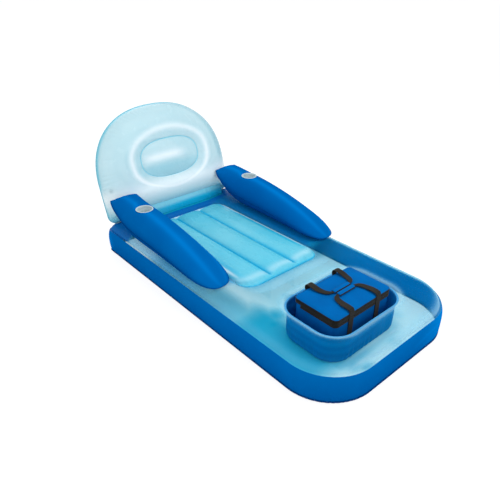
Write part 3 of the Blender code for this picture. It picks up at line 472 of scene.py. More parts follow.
def filmMaterial(name, film):
    # vinyl film: broad mottling, a deeper colour along the welds and in painted shade, a painted
    # highlight colour where it is marked pale, faint creases in the surface. A share of the light goes
    # straight through, less of it at a slant
    material, tree, shader = newMaterial(name)
    broad = noise(tree, 5.0, 3.0)
    creases = noise(tree, 22.0, 3.0, (1.0, 0.45, 1.0))
    grain = noise(tree, 420.0, 2.0)
    weld = addNode(tree, "Attribute", {}, attribute_name="weld").outputs["Fac"]
    pale = addNode(tree, "Attribute", {}, attribute_name="pale").outputs["Fac"]
    colour = mixColour(tree, ranged(tree, broad, 0, 1), film["colour"], film["mottle"])
    coloured(tree, shader, pale, mixColour(tree, weld, colour, film["weld"]), film["pale"])
    tree.links.new(ranged(tree, creases, *film["rough"]), shader.inputs["Roughness"])
    raised(tree, shader, 0.09, 0.0006, math1(tree, "ADD", creases, math1(tree, "MULTIPLY", grain, 0.05)))
    shader.inputs["Specular IOR Level"].default_value = film["gloss"]
    if film["opacity"] == 1:
        shader.inputs["Specular Tint"].default_value = blueGloss
        return material
    through = mixColour(tree, weld, film["tint"], film["weldTint"])
    clear = addNode(tree, "BsdfTransparent", {"Color": through})
    facing = addNode(tree, "LayerWeight", {"Blend": 0.5}).outputs["Facing"]
    slant = math1(tree, "MULTIPLY", math1(tree, "POWER", facing, 2.5), film["edge"])
    welded = math1(tree, "MULTIPLY", weld, film["cover"])
    highlightCovered = math1(tree, "MULTIPLY", pale, film["highlightCover"])
    more = math1(tree, "ADD", slant, math1(tree, "ADD", welded, highlightCovered))
    opacity = addNode(tree, "Math", {0: more, 1: film["opacity"]}, operation="ADD", use_clamp=True)
    mixed = addNode(tree, "MixShader", {0: opacity.outputs[0], 1: clear.outputs[0], 2: shader.outputs[0]})
    tree.links.new(mixed.outputs[0], tree.nodes["Material Output"].inputs["Surface"])
    return material


def mouldedMaterial(name, colour, mottle, rough, gloss):
    # moulded plastic: cloudy colour, a fine pitted surface
    material, tree, shader = newMaterial(name)
    cloud = noise(tree, 30.0, 4.0)
    pits = noise(tree, 900.0, 2.0)
    coloured(tree, shader, ranged(tree, cloud, 0, 1), colour, mottle)
    tree.links.new(ranged(tree, cloud, *rough), shader.inputs["Roughness"])
    raised(tree, shader, 0.25, 0.0002, pits)
    shader.inputs["Specular IOR Level"].default_value = gloss
    return material


def wovenMaterial(name, colour, mottle, across, along, depth, rough=(0.75, 0.9), sheen=0.15):
    # woven cloth on the piece's own lengths: warp and weft waves about three threads wide, one
    # lifted where the other dips, with slubs and rubbed, paler high spots. across and along are
    # the widths of a thread
    material, tree, shader = newMaterial(name)
    lengths = addNode(tree, "TexCoord", {}).outputs["UV"]
    waves = []
    for axis, thread in (("X", along), ("Y", across)):
        wave = addNode(tree, "TexWave", {"Vector": lengths, "Scale": 0.1 / thread, "Distortion": 0.4,
                                         "Detail": 1.0, "Detail Scale": 2.0},
                       wave_type="BANDS", bands_direction=axis, wave_profile="SIN")
        waves.append(wave.outputs["Fac"])
    weave = math1(tree, "MAXIMUM", *waves)
    slubs = noise(tree, 160.0, 3.0, (1, 3, 1))
    worn = noise(tree, 12.0, 4.0)
    shade = math1(tree, "MULTIPLY", ranged(tree, worn, 0.2, 1), ranged(tree, weave, 0.3, 1, 0.2, 0.9))
    coloured(tree, shader, shade, colour, mottle)
    tree.links.new(ranged(tree, worn, *rough), shader.inputs["Roughness"])
    raised(tree, shader, 0.5, depth, math1(tree, "ADD", weave, math1(tree, "MULTIPLY", slubs, 0.4)))
    shader.inputs["Sheen Weight"].default_value = sheen
    shader.inputs["Specular IOR Level"].default_value = 0.02
    return material


def foilMaterial(name):
    # crinkled insulating foil
    material, tree, shader = newMaterial(name)
    place = addNode(tree, "TexCoord", {}).outputs["Object"]
    crinkle = addNode(tree, "TexVoronoi", {"Vector": place, "Scale": 90.0}, feature="F1").outputs["Distance"]
    soft = noise(tree, 60.0, 4.0)
    coloured(tree, shader, soft, (0.55, 0.57, 0.60), (0.72, 0.74, 0.76))
    tree.links.new(ranged(tree, soft, 0.25, 0.45), shader.inputs["Roughness"])
    raised(tree, shader, 0.5, 0.001, math1(tree, "ADD", crinkle, soft))
    shader.inputs["Metallic"].default_value = 0.85
    return material


def metalMaterial(name):
    # cast zip metal, brushed and rubbed
    material, tree, shader = newMaterial(name)
    rubbed = noise(tree, 500.0, 4.0, (1, 6, 1))
    coloured(tree, shader, rubbed, (0.55, 0.56, 0.58), (0.78, 0.79, 0.80))
    tree.links.new(ranged(tree, rubbed, 0.22, 0.42), shader.inputs["Roughness"])
    raised(tree, shader, 0.2, 0.0002, rubbed)
    shader.inputs["Metallic"].default_value = 1.0
    return material


material = {name: filmMaterial(name, film) for name, film in films.items()}
material["cup"] = mouldedMaterial("cupPlastic", (0.46, 0.57, 0.61), (0.56, 0.66, 0.69), (0.45, 0.6), 0.3)
material["valve"] = mouldedMaterial("valveVinyl", (0.10, 0.34, 0.38), (0.14, 0.42, 0.46), (0.35, 0.5), 0.4)
material["plug"] = mouldedMaterial("plugVinyl", (0.01, 0.26, 0.40), (0.02, 0.34, 0.48), (0.35, 0.5), 0.4)
material["bag"] = wovenMaterial("bagFabric", (0.0, 0.105, 0.36), (0.0, 0.140, 0.46), 0.0011, 0.0011,
                                0.0003, sheen=0.0)
material["webbing"] = wovenMaterial("webbing", (0.010, 0.009, 0.007), (0.024, 0.021, 0.016), 0.0016,
                                    0.0024, 0.0005)
material["foil"] = foilMaterial("bagFoil")
material["metal"] = metalMaterial("zipMetal")
print("materials made")


# Base chamber

deck = dict(seamZ=0.1206, seamInset=0.018, lap=0.008, seatLand=0.1306, wellLand=0.1426, crest=0.160,
            room=0.0415, dividerY=-0.2475, spacing=0.005, rows=46, pucker=0.0006, puckerReach=0.011,
            wave=0.019, lobe=0.085, ply=0.0006, cutWave=0.0005,
            lapRows=[(0.018, 0.1206), (0.0155, 0.1207), (0.0125, 0.1207), (0.010, 0.1206), (0.0092, 0.1202)])


def deckHeight(x, y):
    # the inflated deck: the welds' own levels, each weighted by how near it is, and above them
    # a rise with the square root of the room between the welds
    edge = np.maximum(depthIn(basePlan, x, y, 0.02) - deck["seamInset"], 1e-6)
    seat = np.maximum(-depthIn(seatPlan, x, y) - deck["lap"], 1e-6)
    well = np.maximum(-depthIn(wellPlan, x, y) - deck["lap"], 1e-6)
    total = 1 / edge + 1 / seat + 1 / well
    level = (deck["seamZ"] / edge + deck["seatLand"] / seat + deck["wellLand"] / well) / total
    return level + (deck["crest"] - level) * np.sqrt(np.minimum(1 / total / deck["room"], 1.2))


def onDeck(x, y):
    # points of a film that lies on the deck
    x, y = np.broadcast_arrays(x, y)
    return point(x, y, deckHeight(x, y) + deck["ply"])


def holeEdge(centre, hole, outer):
    # where the rays from the centre to the outer points leave the hole, found by halving
    low, high = np.zeros(len(outer)), np.ones(len(outer))
    for _ in range(40):
        middle = (low + high) / 2
        at = centre + (outer - centre) * middle[:, None]
        inside = depthIn(hole, at[:, 0], at[:, 1]) > 0
        low, high = np.where(inside, middle, low), np.where(inside, high, middle)
    return centre + (outer - centre) * high[:, None]


def deckMarks(hole, x, y, fromEdge, fromHole):
    # pale, all painted highlights: a lip round the well, a line along the seat's seam, a lobe in front
    # of the seat and a shoulder along the outer seam
    fromSeat = -depthIn(seatPlan, x, y)
    lipHighlight = mark(fromHole, 0.62, 0.006, 0.014) if hole is wellPlan else mark(fromHole, 0.35, -0.004, 0.004)
    lobe = patch(0.38, (fromSeat, deck["lobe"] + 0.014, deck["lobe"]), (y, -0.02, -0.16),
                 (x, -0.28, -0.21), (x, 0.24, 0.14))
    along = 0.45 + 0.55 * np.maximum(smoothStep(-0.1, 0.28, x), smoothStep(0.15, 0.45, y))
    shoulder = patch(0.60, (y - 0.6 * (x < 0), 0.05, -0.12)) * along * bell(np.maximum(fromEdge, 0), 0.022)
    # deep: the head end behind the seat, painted shade in the bands beside the seat under the
    # armrests, and a cyan strip between the near armrest and the edge
    near = smoothStep(0.30, 0.34, np.abs(x))
    head = patch(0.98, (y, 0.646 - 0.094 * near, 0.650 - 0.058 * near))
    fromMiddle = np.abs(x) + 0.018 * (x < 0)
    under = patch(0.80, (fromSeat, 0.003, 0.012), (fromMiddle, 0.388, 0.374), (y, -0.13, -0.04))
    strip = patch(0.46, (x, -0.34, -0.365), (y, -0.12, 0.12)) * (1 - 0.35 * smoothStep(0.30, 0.50, y))
    deep = strongest(head, under, strip)
    return dict(weld=deep, pale=strongest(lipHighlight, lobe, shoulder) * (1 - deep))


def deckPatch(centre, hole, outer, outerRun, total, seed):
    # the film between a hole and the outer edge. Puckers run along each weld and fade from it
    inner = holeEdge(np.array(centre), hole, outer)
    innerRun = lengthAlong(inner)
    innerTotal = innerRun[-1] + np.hypot(*(inner[0] - inner[-1]))
    x, y = lerp(inner.T[:, None], outer.T[:, None], eased(deck["rows"]))
    fromEdge = depthIn(basePlan, x, y) - deck["seamInset"]
    fromHole = -depthIn(hole, x, y) - deck["lap"]
    edgeWave = gathers(outerRun, total, 3, deck["wave"], 0.35)
    holeWave = gathers(innerRun, innerTotal, seed, deck["wave"], 0.3)
    reach = deck["puckerReach"]
    puckers = edgeWave * bump(fromEdge, reach) + holeWave * bump(fromHole, reach)
    z = deckHeight(x, y) + deck["pucker"] * puckers
    return grid(point(x, y, z), wrapColumns=True, **deckMarks(hole, x, y, fromEdge, fromHole))


def makeDeck():
    points, outward, run, total = outline(basePlan, deck["spacing"])
    halfX, divider = basePlan[0], deck["dividerY"]
    # the two ends of the divider join the ring at their own lengths along it
    onRight = points[:, 0] > halfX - 0.0001
    rightRun = np.interp(divider, points[onRight, 1], run[onRight])
    leftRun = total - rightRun
    points = np.concatenate([points, [(halfX, divider), (-halfX, divider)]])
    outward = np.concatenate([outward, [(1, 0), (-1, 0)]])
    run = np.concatenate([run, [rightRun, leftRun]])
    order = np.argsort(run)
    points, outward, run = points[order], outward[order], run[order]
    ring = points - outward * deck["seamInset"]
    insetX = halfX - deck["seamInset"]
    across = np.linspace(-insetX, insetX, round(2 * insetX / deck["spacing"]))[1:-1]
    dividing = np.stack([across, np.full_like(across, divider)], 1)
    dividingRun = np.where(across < 0, leftRun, rightRun)
    # each patch's outer edge is its part of the ring, closed along the divider
    atHead = (run >= rightRun) & (run <= leftRun)
    atFoot = (run <= rightRun) | (run >= leftRun)
    footOrder = np.argsort(np.where(run[atFoot] >= leftRun, run[atFoot] - total, run[atFoot]))
    headOuter = np.concatenate([ring[atHead], dividing])
    headRun = np.concatenate([run[atHead], dividingRun])
    footOuter = np.concatenate([ring[atFoot][footOrder], dividing[::-1]])
    footRun = np.concatenate([run[atFoot][footOrder], dividingRun[::-1]])
    grids = [deckPatch((0, 0.24), seatPlan, headOuter, headRun, total, 11),
             deckPatch((0, -0.489), wellPlan, footOuter, footRun, total, 21)]
    # the lap that is welded to the wall's top, with a slightly wavy cut edge
    inset, height = np.array(deck["lapRows"]).T[:, :, None]
    wavy = deck["cutWave"] * ripples(run, total, 31, 0.03) * (inset < 0.013)
    lap = setIn(points, outward, inset, height + wavy)
    # deep blue at the head end of the lap, and a faint painted highlight along the rest of it
    atHead = (lap[..., 1] > 0.62).astype(float)
    grids.append(grid(lap, wrapColumns=True, weld=atHead, pale=0.22 * (1 - atHead)))
    piece = makePiece("deck_sheet", grids, inside=(0, 0, -20), crease=60)
    return dress(piece, "clearBlue", "base", ["top_sheet", "well_collar"])


wall = dict(low=0.0046, high=0.1204, topInset=0.0092, lowInset=0.006, rows=26, spacing=0.005, scallop=0.0024,
            scallopWave=0.022, scallopReach=0.010, hem=0.0022, hemReach=0.014, sag=0.0008, sagWave=0.20,
            gather=(0.27, -0.74), gatherWidth=0.19,
            fins=[(0.008, 0.0024), (0.0012, 0.0030), (0.0015, 0.0040)])


def makeWall():
    # the wall band: an inset that grows with the cube of the distance from mid height, gathered
    # in scallops along the floor weld, round the two foot corners only
    points, outward, run, total = outline(basePlan, wall["spacing"])
    x, y = points.T
    share = eased(wall["rows"])
    z = lerp(wall["low"], wall["high"], share)
    level = share * 2 - 1
    inset = np.where(level > 0, wall["topInset"], wall["lowInset"]) * np.abs(level) ** 3
    swell = scallops(run, total, 41, wall["scallopWave"])
    gather = 0.10 + 0.90 * spot(np.abs(x), y, wall["gather"], wall["gatherWidth"])
    inset = inset + wall["scallop"] * gather * (0.5 - swell) * bump(z - wall["low"], wall["scallopReach"])
    inset = inset + wall["sag"] * ripples(run, total, 43, wall["sagWave"]) * np.cos(level * np.pi / 2) ** 2
    hem = wall["hem"] * gather * (1 - swell) ** 2
    z = z + hem * np.exp(-(z - wall["low"]) / wall["hemReach"])
    band = setIn(points, outward, inset, z)
    # pale, all painted highlights: under the top seam, on the rounded head corners, over the far
    # side, on the far foot corner, and a level streak along the far side
    flicker = 0.7 + 0.3 * ripples(run, total, 46, 0.04)
    drift = 0.006 * ripples(run, total, 45, 0.5)
    pale = strongest(
        patch(0.12, (z, 0.02, 0.115)),
        0.9 * spot(np.abs(x), y, (0.41, 0.79), 0.05) * np.sin(np.pi * share),
        patch(0.62, (x, 0.05, 0.30), (z, 0, 0.03)),
        patch(0.85, (z, 0.0, 0.05)) * spot(x, y, (0.38, -0.70), 0.10) * flicker,
        mark(z - drift, 0.75, 0.074, 0.016) * smoothStep(0.0, 0.3, x))
    # the narrow welded fins at the floor
    fins = [setIn(points, outward, finInset, height + hem) for finInset, height in wall["fins"]]
    grids = [grid(band, wrapColumns=True, weld=mark(z, 0.9, wall["low"], 0.004), pale=pale),
             grid(np.stack([*fins, band[0]]), wrapColumns=True, weld=0.9)]
    piece = makePiece("side_band", grids, inside=(0, 0, 0.06), crease=50)
    return dress(piece, "deepBlue", "base", ["side_wall"])


# the floor's upturned edge: inset, height, share of the wave
floorRows = np.array([(0.0035, 0.0044, 0), (0.008, 0.0040, 0.4), (0.014, 0.0026, 1), (0.020, 0.0012, 0.6),
                      (0.026, 0.0005, 0.2), (0.032, 0.0003, 0), (0.045, 0.0003, 0)])
# painted shade and reflection of the walls in pools on the floor: x, y, width, strength
floorShadePools = [(-0.135, -0.667, 0.040, 0.75), (-0.105, -0.725, 0.035, 0.70), (0.262, -0.590, 0.035, 0.45),
              (-0.275, -0.470, 0.080, 0.90), (-0.260, -0.570, 0.060, 0.90), (-0.200, -0.290, 0.080, 1.00),
              (0.100, -0.690, 0.040, 0.35), (0.300, -0.470, 0.050, 0.40), (-0.330, -0.480, 0.080, 0.90),
              (-0.150, -0.250, 0.060, 0.90), (0.000, -0.190, 0.040, 0.60)]
# painted highlight streaks across its foot end: y at the middle, slope, share of the wander, width, strength
floorHighlightStreaks = [(-0.690, 0.055, 1.0, 0.010, 0.9), (-0.652, 0.040, -1.0, 0.008, 0.6),
                (-0.735, 0.030, 0.5, 0.012, 0.5)]


def floorMarks(x, y):
    # painted shade and reflection of the walls: deeper round the well, left of it, under the seat, in front
    # of it and along the left edge
    fromWell = np.maximum(-depthIn(wellPlan, x, y), 0)
    aroundWellShade = (0.40 + 0.35 * smoothStep(0.05, -0.10, x)) * bell(fromWell, 0.035)
    shadePools = [strength * spot(x, y, place, width) for *place, width, strength in floorShadePools]
    deep = strongest(
        aroundWellShade, patch(0.95, (x, -0.09, -0.19), (y, -0.70, -0.58), (y, -0.04, -0.24)),
        patch(0.55, (x, -0.16, -0.04), (y, -0.10, 0.0)), patch(0.22, (x, -0.20, -0.05), (y, -0.36, -0.28)),
        patch(0.55, (x, -0.14, -0.23), (y, 0.60, 0.45), (y, -0.60, -0.4)), *shadePools)
    # painted highlights: streaks across the foot end and a patch at the foot end's right side
    wander = 0.006 * np.sin(x * 11.0 + 1.0)
    highlightStreaks = sum(strength * bell(y - place + slope * x + sway * wander, width)
                  for place, slope, sway, width, strength in floorHighlightStreaks)
    foot = patch(0.6, (x, 0.12, 0.30), (y, -0.40, -0.55))
    pale = np.clip(np.maximum(highlightStreaks * smoothStep(-0.24, -0.08, x), foot), 0, 1)
    return dict(weld=deep * (1 - 0.7 * pale), pale=pale)


def makeFloorSheet():
    # the floor: flat on the ground, turned up to its weld near the edge
    rim, _, run, total = carried(basePlan, floorRows[:, :2], 0.008)
    rim[..., 2] += 0.0009 * ripples(run, total, 51, 0.022) * floorRows[:, 2:]
    flat = towards((0, 0), rim[-1], 60)
    grids = [grid(part, wrapColumns=True, **floorMarks(part[..., 0], part[..., 1])) for part in (rim, flat)]
    piece = makePiece("floor_sheet", grids, inside=(0, 0, 20), crease=60)
    return dress(piece, "floorBlue", "base", ["bottom_sheet"])


# Seat

seat = dict(weldZ=0.1290, rise=0.024, valleyX=0.078, sideX=0.1565, sideHalf=0.0785, endRound=0.05,
            open=(0.010, 0.034), pucker=0.0004, puckerReach=0.010, pitch=0.015, rows=210,
            beamY=(-0.145, 0.625), beamZ=(0.0016, 0.1284))


def seatColumns():
    # places across the seat, closer together at the valleys and round the corners
    radius, valleyX = seatPlan[3], seat["valleyX"]
    inner = seatPlan[0] - radius
    crowded = valleyX + 0.014 * np.sin(np.linspace(-1, 1, 21) * np.pi / 2) ** 3
    middle, outer = np.linspace(0, valleyX - 0.016, 16), np.linspace(valleyX + 0.016, inner, 18)
    corner = inner + radius * np.sin(np.linspace(0, np.pi / 2, 26))[1:]
    right = np.concatenate([np.sort(np.concatenate([middle, crowded, outer])), corner])
    return np.concatenate([-right[::-1], right[1:]])[None, :]


def makeSeat():
    # three channels: columns of fixed x, each from the near to the far end of the rounded plan.
    # A channel is a flattened arch between its welds, closed at its ends by a quarter round
    halfX, low, high, radius, _ = seatPlan
    x = seatColumns()
    over = np.clip(np.abs(x) - (halfX - radius), 0, radius)
    cornerRise = radius - np.sqrt(radius ** 2 - over ** 2)
    share = lerp(eased(seat["rows"]), np.linspace(0, 1, seat["rows"])[:, None], 0.55)
    y = lerp(low + cornerRise, high - cornerRise, share)
    fromEnd = np.minimum(y - low - cornerRise, high - cornerRise - y)
    fromSide = halfX - np.abs(x)
    sideAcross = (np.abs(x) - seat["sideX"]) / seat["sideHalf"]
    across = np.where(np.abs(x) > seat["valleyX"], sideAcross, x / seat["valleyX"])
    pinned = smoothStep(*seat["open"], fromEnd)
    end = quarterRound(fromEnd / seat["endRound"])
    broad, channels = 0.72 * arch(x / halfX, 3, 0.5), arch(across, 2.5, 0.52)
    z = seat["weldZ"] + seat["rise"] * lerp(broad, channels, pinned) * end
    # puckers on both sides of each valley, along the sides and along the ends
    run, length, reach = y - low, high - low, seat["puckerReach"]
    for seed, weldX in ((61, -seat["valleyX"]), (63, seat["valleyX"])):
        for side in (-1, 1):
            wave = gathers(run, length, seed + side, seat["pitch"], 0.2, 0.6, seed + side + 10)
            fromWeld = side * (x - weldX)
            z = z + seat["pucker"] * wave * bump(fromWeld, reach) * pinned * (fromWeld > 0)
    for seed, side in ((71, -1), (73, 1)):
        wave = ripples(run, length, seed, seat["pitch"])
        z = z + 0.8 * seat["pucker"] * wave * bump(fromSide, reach) * (side * x > 0) * end
    endWave = ripples(x + halfX, 2 * halfX, 75, 0.018) * np.where(y < (low + high) / 2, 1, -1)
    z = z + seat["pucker"] * endWave * bump(fromEnd, 0.012) * (1 - bell(fromSide, 0.01))
    # deeper in the valleys, in a band inside both sides and the rear, and at the front weld, with
    # a painted highlight line inside the seam and a painted highlight at the foot
    valley = bell(np.abs(np.abs(x) - seat["valleyX"]), 0.0085 + 0.004 * smoothStep(0.3, -0.1, y)) * pinned
    band = patch(0.9, (fromSide, 0.056, 0.036), (y, -0.16, 0.05)) + patch(
        0.6, (y, 0.50, 0.62), (fromEnd, 0.040, 0.024))
    front = bell(fromEnd, 0.008) * (y < 0.1)
    edgeHighlight = mark(depthIn(seatPlan, x, y, 0.01), 0.7, 0.018, 0.0065) * smoothStep(-0.14, 0.02, y)
    foot = mark(fromEnd, 0.28, 0.045, 0.022) * (y < 0.1) * pinned
    weld = strongest(valley, band, front) * (1 - edgeHighlight)
    grids = [grid(point(x, y, z), weld=weld, pale=np.maximum(edgeHighlight, foot * (1 - weld)))]
    piece = makePiece("seat_channels", grids, inside=(0, 0, -20), crease=60, merge=1e-5)
    return dress(piece, "seatBlue", "base", ["seat_panel"])


def makeBeams():
    # the upright webs under the valleys: flat film, bellied a little by the air on each side
    start, end = seat["beamY"]
    y = np.linspace(start, end, 200)[None, :]
    share = np.linspace(0, 1, 24)[:, None]
    for name, side, seed in (("left", -1, 81), ("right", 1, 83)):
        belly = 0.004 * np.sin(np.pi * share) * ripples(y - start, end - start, seed, 0.18)
        crease = 0.0008 * ripples(y - start, end - start, seed + 1, 0.02) * bothEnds(share, 0.12)
        points = point(side * seat["valleyX"] + belly + crease, y, lerp(*seat["beamZ"], share))
        piece = makePiece("seat_web_" + name, [grid(points)], inside=(0, 0, 0.06), crease=60)
        dress(piece, "webFilm", "base", ["seat_beam_" + name])


# Well

well = dict(spacing=0.005, rows=56, lipZ=0.1404, lipPucker=0.0009, footZ=0.004, footPucker=0.0011, sag=0.0012)
wellProfile = [(-0.0075, 0.1414), (-0.004, 0.1416), (-0.001, 0.1424), (0.0005, 0.1420), (0.0016, 0.1404),
               (0.0022, 0.1370), (0.0028, 0.128), (0.0032, 0.110), (0.0037, 0.085), (0.0042, 0.055),
               (0.0048, 0.034), (0.0058, 0.022), (0.0075, 0.012), (0.0105, 0.0052), (0.0160, 0.0024),
               (0.0240, 0.0018)]


def makeWell():
    # the liner hangs from the deck: a rolled lip, nearly upright walls that puckers cross
    # below the lip and above the floor, and a flat floor
    profile = smoothPath(wellProfile, well["rows"])
    sides, outward, run, total = carried(wellPlan, profile, well["spacing"])
    height = profile[:, 1:]
    lipWave = gathers(run, total, 91, 0.018, 0.2, 0.6)
    footWave = ripples(run, total, 93, 0.026) * (height > well["footZ"])
    push = (well["lipPucker"] * lipWave * bump(well["lipZ"] - height, 0.012)
            + well["footPucker"] * footWave * bump(height - well["footZ"], 0.014)
            + well["sag"] * ripples(run, total, 94, 0.11) * humped(height, 0.01, 0.12))
    sides[..., :2] -= outward * push[..., None]
    flat = towards(middleOf(wellPlan), sides[-1], 12)
    # painted highlights: soft level streaks round the wall, a paler right side, and a lighter roll at the lip
    highlightStreaks = mark(height, 0.7, 0.098, 0.014) + mark(height, 0.35, 0.058, 0.012)
    highlightStreaks = highlightStreaks + mark(height, 0.5, 0.022, 0.010)
    highlightStreaks = np.maximum(highlightStreaks, patch(0.7, (sides[..., 0], -0.05, 0.12), (height, 0.0, 0.03)))
    lipHighlight = 0.9 * bell(np.maximum(0.1415 - height, 0), 0.007)
    grids = [grid(sides, wrapColumns=True, weld=lipHighlight, pale=highlightStreaks * (1 - lipHighlight)), grid(flat, wrapColumns=True)]
    piece = makePiece("well_lining", grids, inside=(0, -0.489, -20), crease=60)
    return dress(piece, "wellBlue", "base", ["well_liner", "well_floor"])


makeDeck()
makeWall()
makeFloorSheet()
makeSeat()
makeBeams()
makeWell()
print("base made")


# Armrests and cups

arm = dict(x=0.335, half=0.083, front=-0.116, rear=0.700, bullet=0.17, stern=0.10, crestLow=0.190,
           crestRise=0.150, lift=0.30, floorZ=0.161, sternZ=0.312, weldShare=0.34, fin=0.0032,
           finThickness=0.0011, cupY=0.485, cupZ=0.3222, cupSeat=0.050, third=76, columns=64, fold=0.0016,
           swell=0.0011, sternShift=0.004, nosePower=2.5, sternCorner=0.060, flange=0.0045, crease=60)
cup = dict(x=0.338, y=0.485, z=0.3224, flange=0.0425, top=0.037, floor=0.032, depth=0.080, wall=0.0012,
           sides=96)


def armSection(y):
    # half width, weld, crest and floor heights at y: the crest rises along the arm, the floor
    # lifts to meet it at the stern, and all shrink onto the weld round the bullet nose
    along = np.clip((y - arm["front"]) / (arm["rear"] - arm["front"]), 0, 1)
    crest = arm["crestLow"] + arm["crestRise"] * (1 - (1 - along) ** 2.5)
    lift = np.clip(1 - (arm["rear"] - y) / arm["lift"], 0, 1) ** 3.2
    floor = lerp(arm["floorZ"], arm["sternZ"], lift)
    crest = lerp(arm["sternZ"], crest, quarterRound((arm["rear"] - y) / arm["stern"]))
    weld = lerp(floor, crest, arm["weldShare"])
    near = 1 - np.clip((y - arm["front"]) / arm["bullet"], 0, 1)
    bullet = (1 - near ** arm["nosePower"]) ** (1 / arm["nosePower"])
    corner = 0.80 + 0.20 * quarterRound((arm["rear"] - y) / arm["sternCorner"])
    return arm["half"] * bullet * corner, weld, lerp(weld, crest, bullet), lerp(weld, floor, bullet)


def armRows():
    # places along the arm, closer together at the nose and at the stern
    third, bodyStart, bodyEnd = arm["third"], arm["front"] + arm["bullet"], arm["rear"] - arm["stern"]
    nose = arm["front"] + arm["bullet"] * (1 - np.cos(np.arange(third) / third * np.pi / 2))
    tail = arm["rear"] - arm["stern"] * (1 - np.sin(np.linspace(0, 1, third + 1) * np.pi / 2))
    return np.concatenate([nose, np.linspace(bodyStart, bodyEnd, third + 1), tail[1:]])[:, None]


def makeArmrest(name, side, seed):
    y, m = armRows(), arm["columns"]
    half, weld, crest, floor = armSection(y)
    across = np.sin(np.linspace(-np.pi / 2, np.pi / 2, m))[None, :]
    upper = lerp(weld, crest, arch(across, 2.3, 0.5))
    lower = lerp(weld, floor, arch(across, 3, 0.5))
    # the top dips to a level seat round the cup
    fromCup = np.hypot(y - arm["cupY"], half * across)
    upper = softMinimum(upper, arm["cupZ"] + 0.9 * np.maximum(0, fromCup - arm["cupSeat"]), 0.003)
    # folds run forward from the flat stern, and puckers line both sides
    fromStern, full = arm["rear"] - y, arch(across, 4, 1)
    fold = arm["fold"] * np.exp(-fromStern / 0.030) * bump(fromStern, 0.018) * full
    upper = upper + fold * ripples(across + 1, 2, seed, 0.42, 0.2, 5)
    lower = lower + fold * ripples(across + 1, 2, seed + 1, 0.5, 0.2, 5)
    run, length, wide = y - arm["front"], arm["rear"] - arm["front"], smoothStep(0, 0.05, half)
    for s, edge in ((0, across < 0), (1, across >= 0)):
        wave = gathers(run, length, seed + 2 + s, 0.021, 0.16, 0.5, seed + 4 + s)
        swell = arm["swell"] * wave * bump(half * (1 - np.abs(across)), 0.006) * edge * wide
        upper, lower = upper + swell, lower - 0.6 * swell
    lower = np.minimum(lower, weld - 0.0002 * (1 - full))
    aside = arm["sternShift"] * (1 - quarterRound(fromStern / arm["sternCorner"]))
    x = side * (arm["x"] + aside) + half * across
    # each section runs over the top, round the right fin, back underneath and round the left fin
    fin, thin = arm["fin"] * wide + 0.0004, arm["finThickness"] / 2
    out, finUp = fin * np.array([1, 1.04, 1]), thin * np.array([1, 0, -1])
    sectionX = np.concatenate([x, x[:, -1:] + out, x[:, ::-1], x[:, :1] - out], 1)
    sectionZ = np.concatenate([np.maximum(upper, weld + thin), weld + finUp,
                               np.minimum(lower[:, ::-1], weld - thin), weld - finUp], 1)
    points = point(sectionX, y, sectionZ)
    # the nose closed on the weld line, and the stern's welded flange
    tip = point(side * arm["x"], arm["front"] - 0.0006, weld[0, 0]) + 0 * points[:1]
    flange = points[-1:] + point(0, arm["flange"], 0)
    flangeEnd = flange + point(0, 0.0002, 0)
    flangeEnd[..., 2] = weld[-1, 0]
    points = np.concatenate([tip, points, flange, flangeEnd])
    # painted highlights: lighter lengthwise streaks on the crown; painted shade: darker undersides and a
    # darker strip along the top's -x edge; and darker fins
    columns = np.arange(points.shape[1])
    onFin = (columns >= m) & (columns < m + 3) | (columns >= 2 * m + 3)
    under = (columns > m + 3) & (columns < 2 * m + 3)
    shade = strongest(onFin, 0.75 * under, 0.5 * bell(columns, 4.5) * (columns < m))
    shade = np.tile(shade, (len(points), 1))
    shade[-2:] = 1
    highlightStreaks = mark(columns, 0.34, 0.42 * m, 4.0) + mark(columns, 0.7 * 0.34, 0.74 * m, 3.5)
    fade = np.sin(np.pi * np.linspace(0, 1, len(points)))[:, None] ** 0.5
    grids = [grid(points, wrapColumns=True, weld=shade, pale=highlightStreaks * fade)]
    piece = makePiece(name, grids, crease=arm["crease"], merge=1e-5)
    turnOutwards(piece.data, fill=True)
    # the cup's pocket
    top, floor, foot = cup["top"] + 0.0012, cup["floor"] + 0.0016, -cup["depth"] - 0.0018
    cutter = turnedPiece("cupCutter", [(0, 0.03), (top, 0.03), (top, -0.004), (floor, foot), (0, foot)],
                         cup["sides"], Matrix.Translation((side * cup["x"], cup["y"], cup["z"])))
    cut = piece.modifiers.new("pocket", "BOOLEAN")
    cut.operation, cut.solver, cut.object = "DIFFERENCE", "EXACT", cutter
    seen = piece.evaluated_get(bpy.context.evaluated_depsgraph_get())
    mesh = bpy.data.meshes.new_from_object(seen)
    piece.modifiers.clear()
    piece.data = mesh
    bpy.data.objects.remove(cutter)
    smoothed(piece.data, 50)
    dress(piece, "deepBlue", "base", [name + "_upper", name + "_lower"])
    return piece


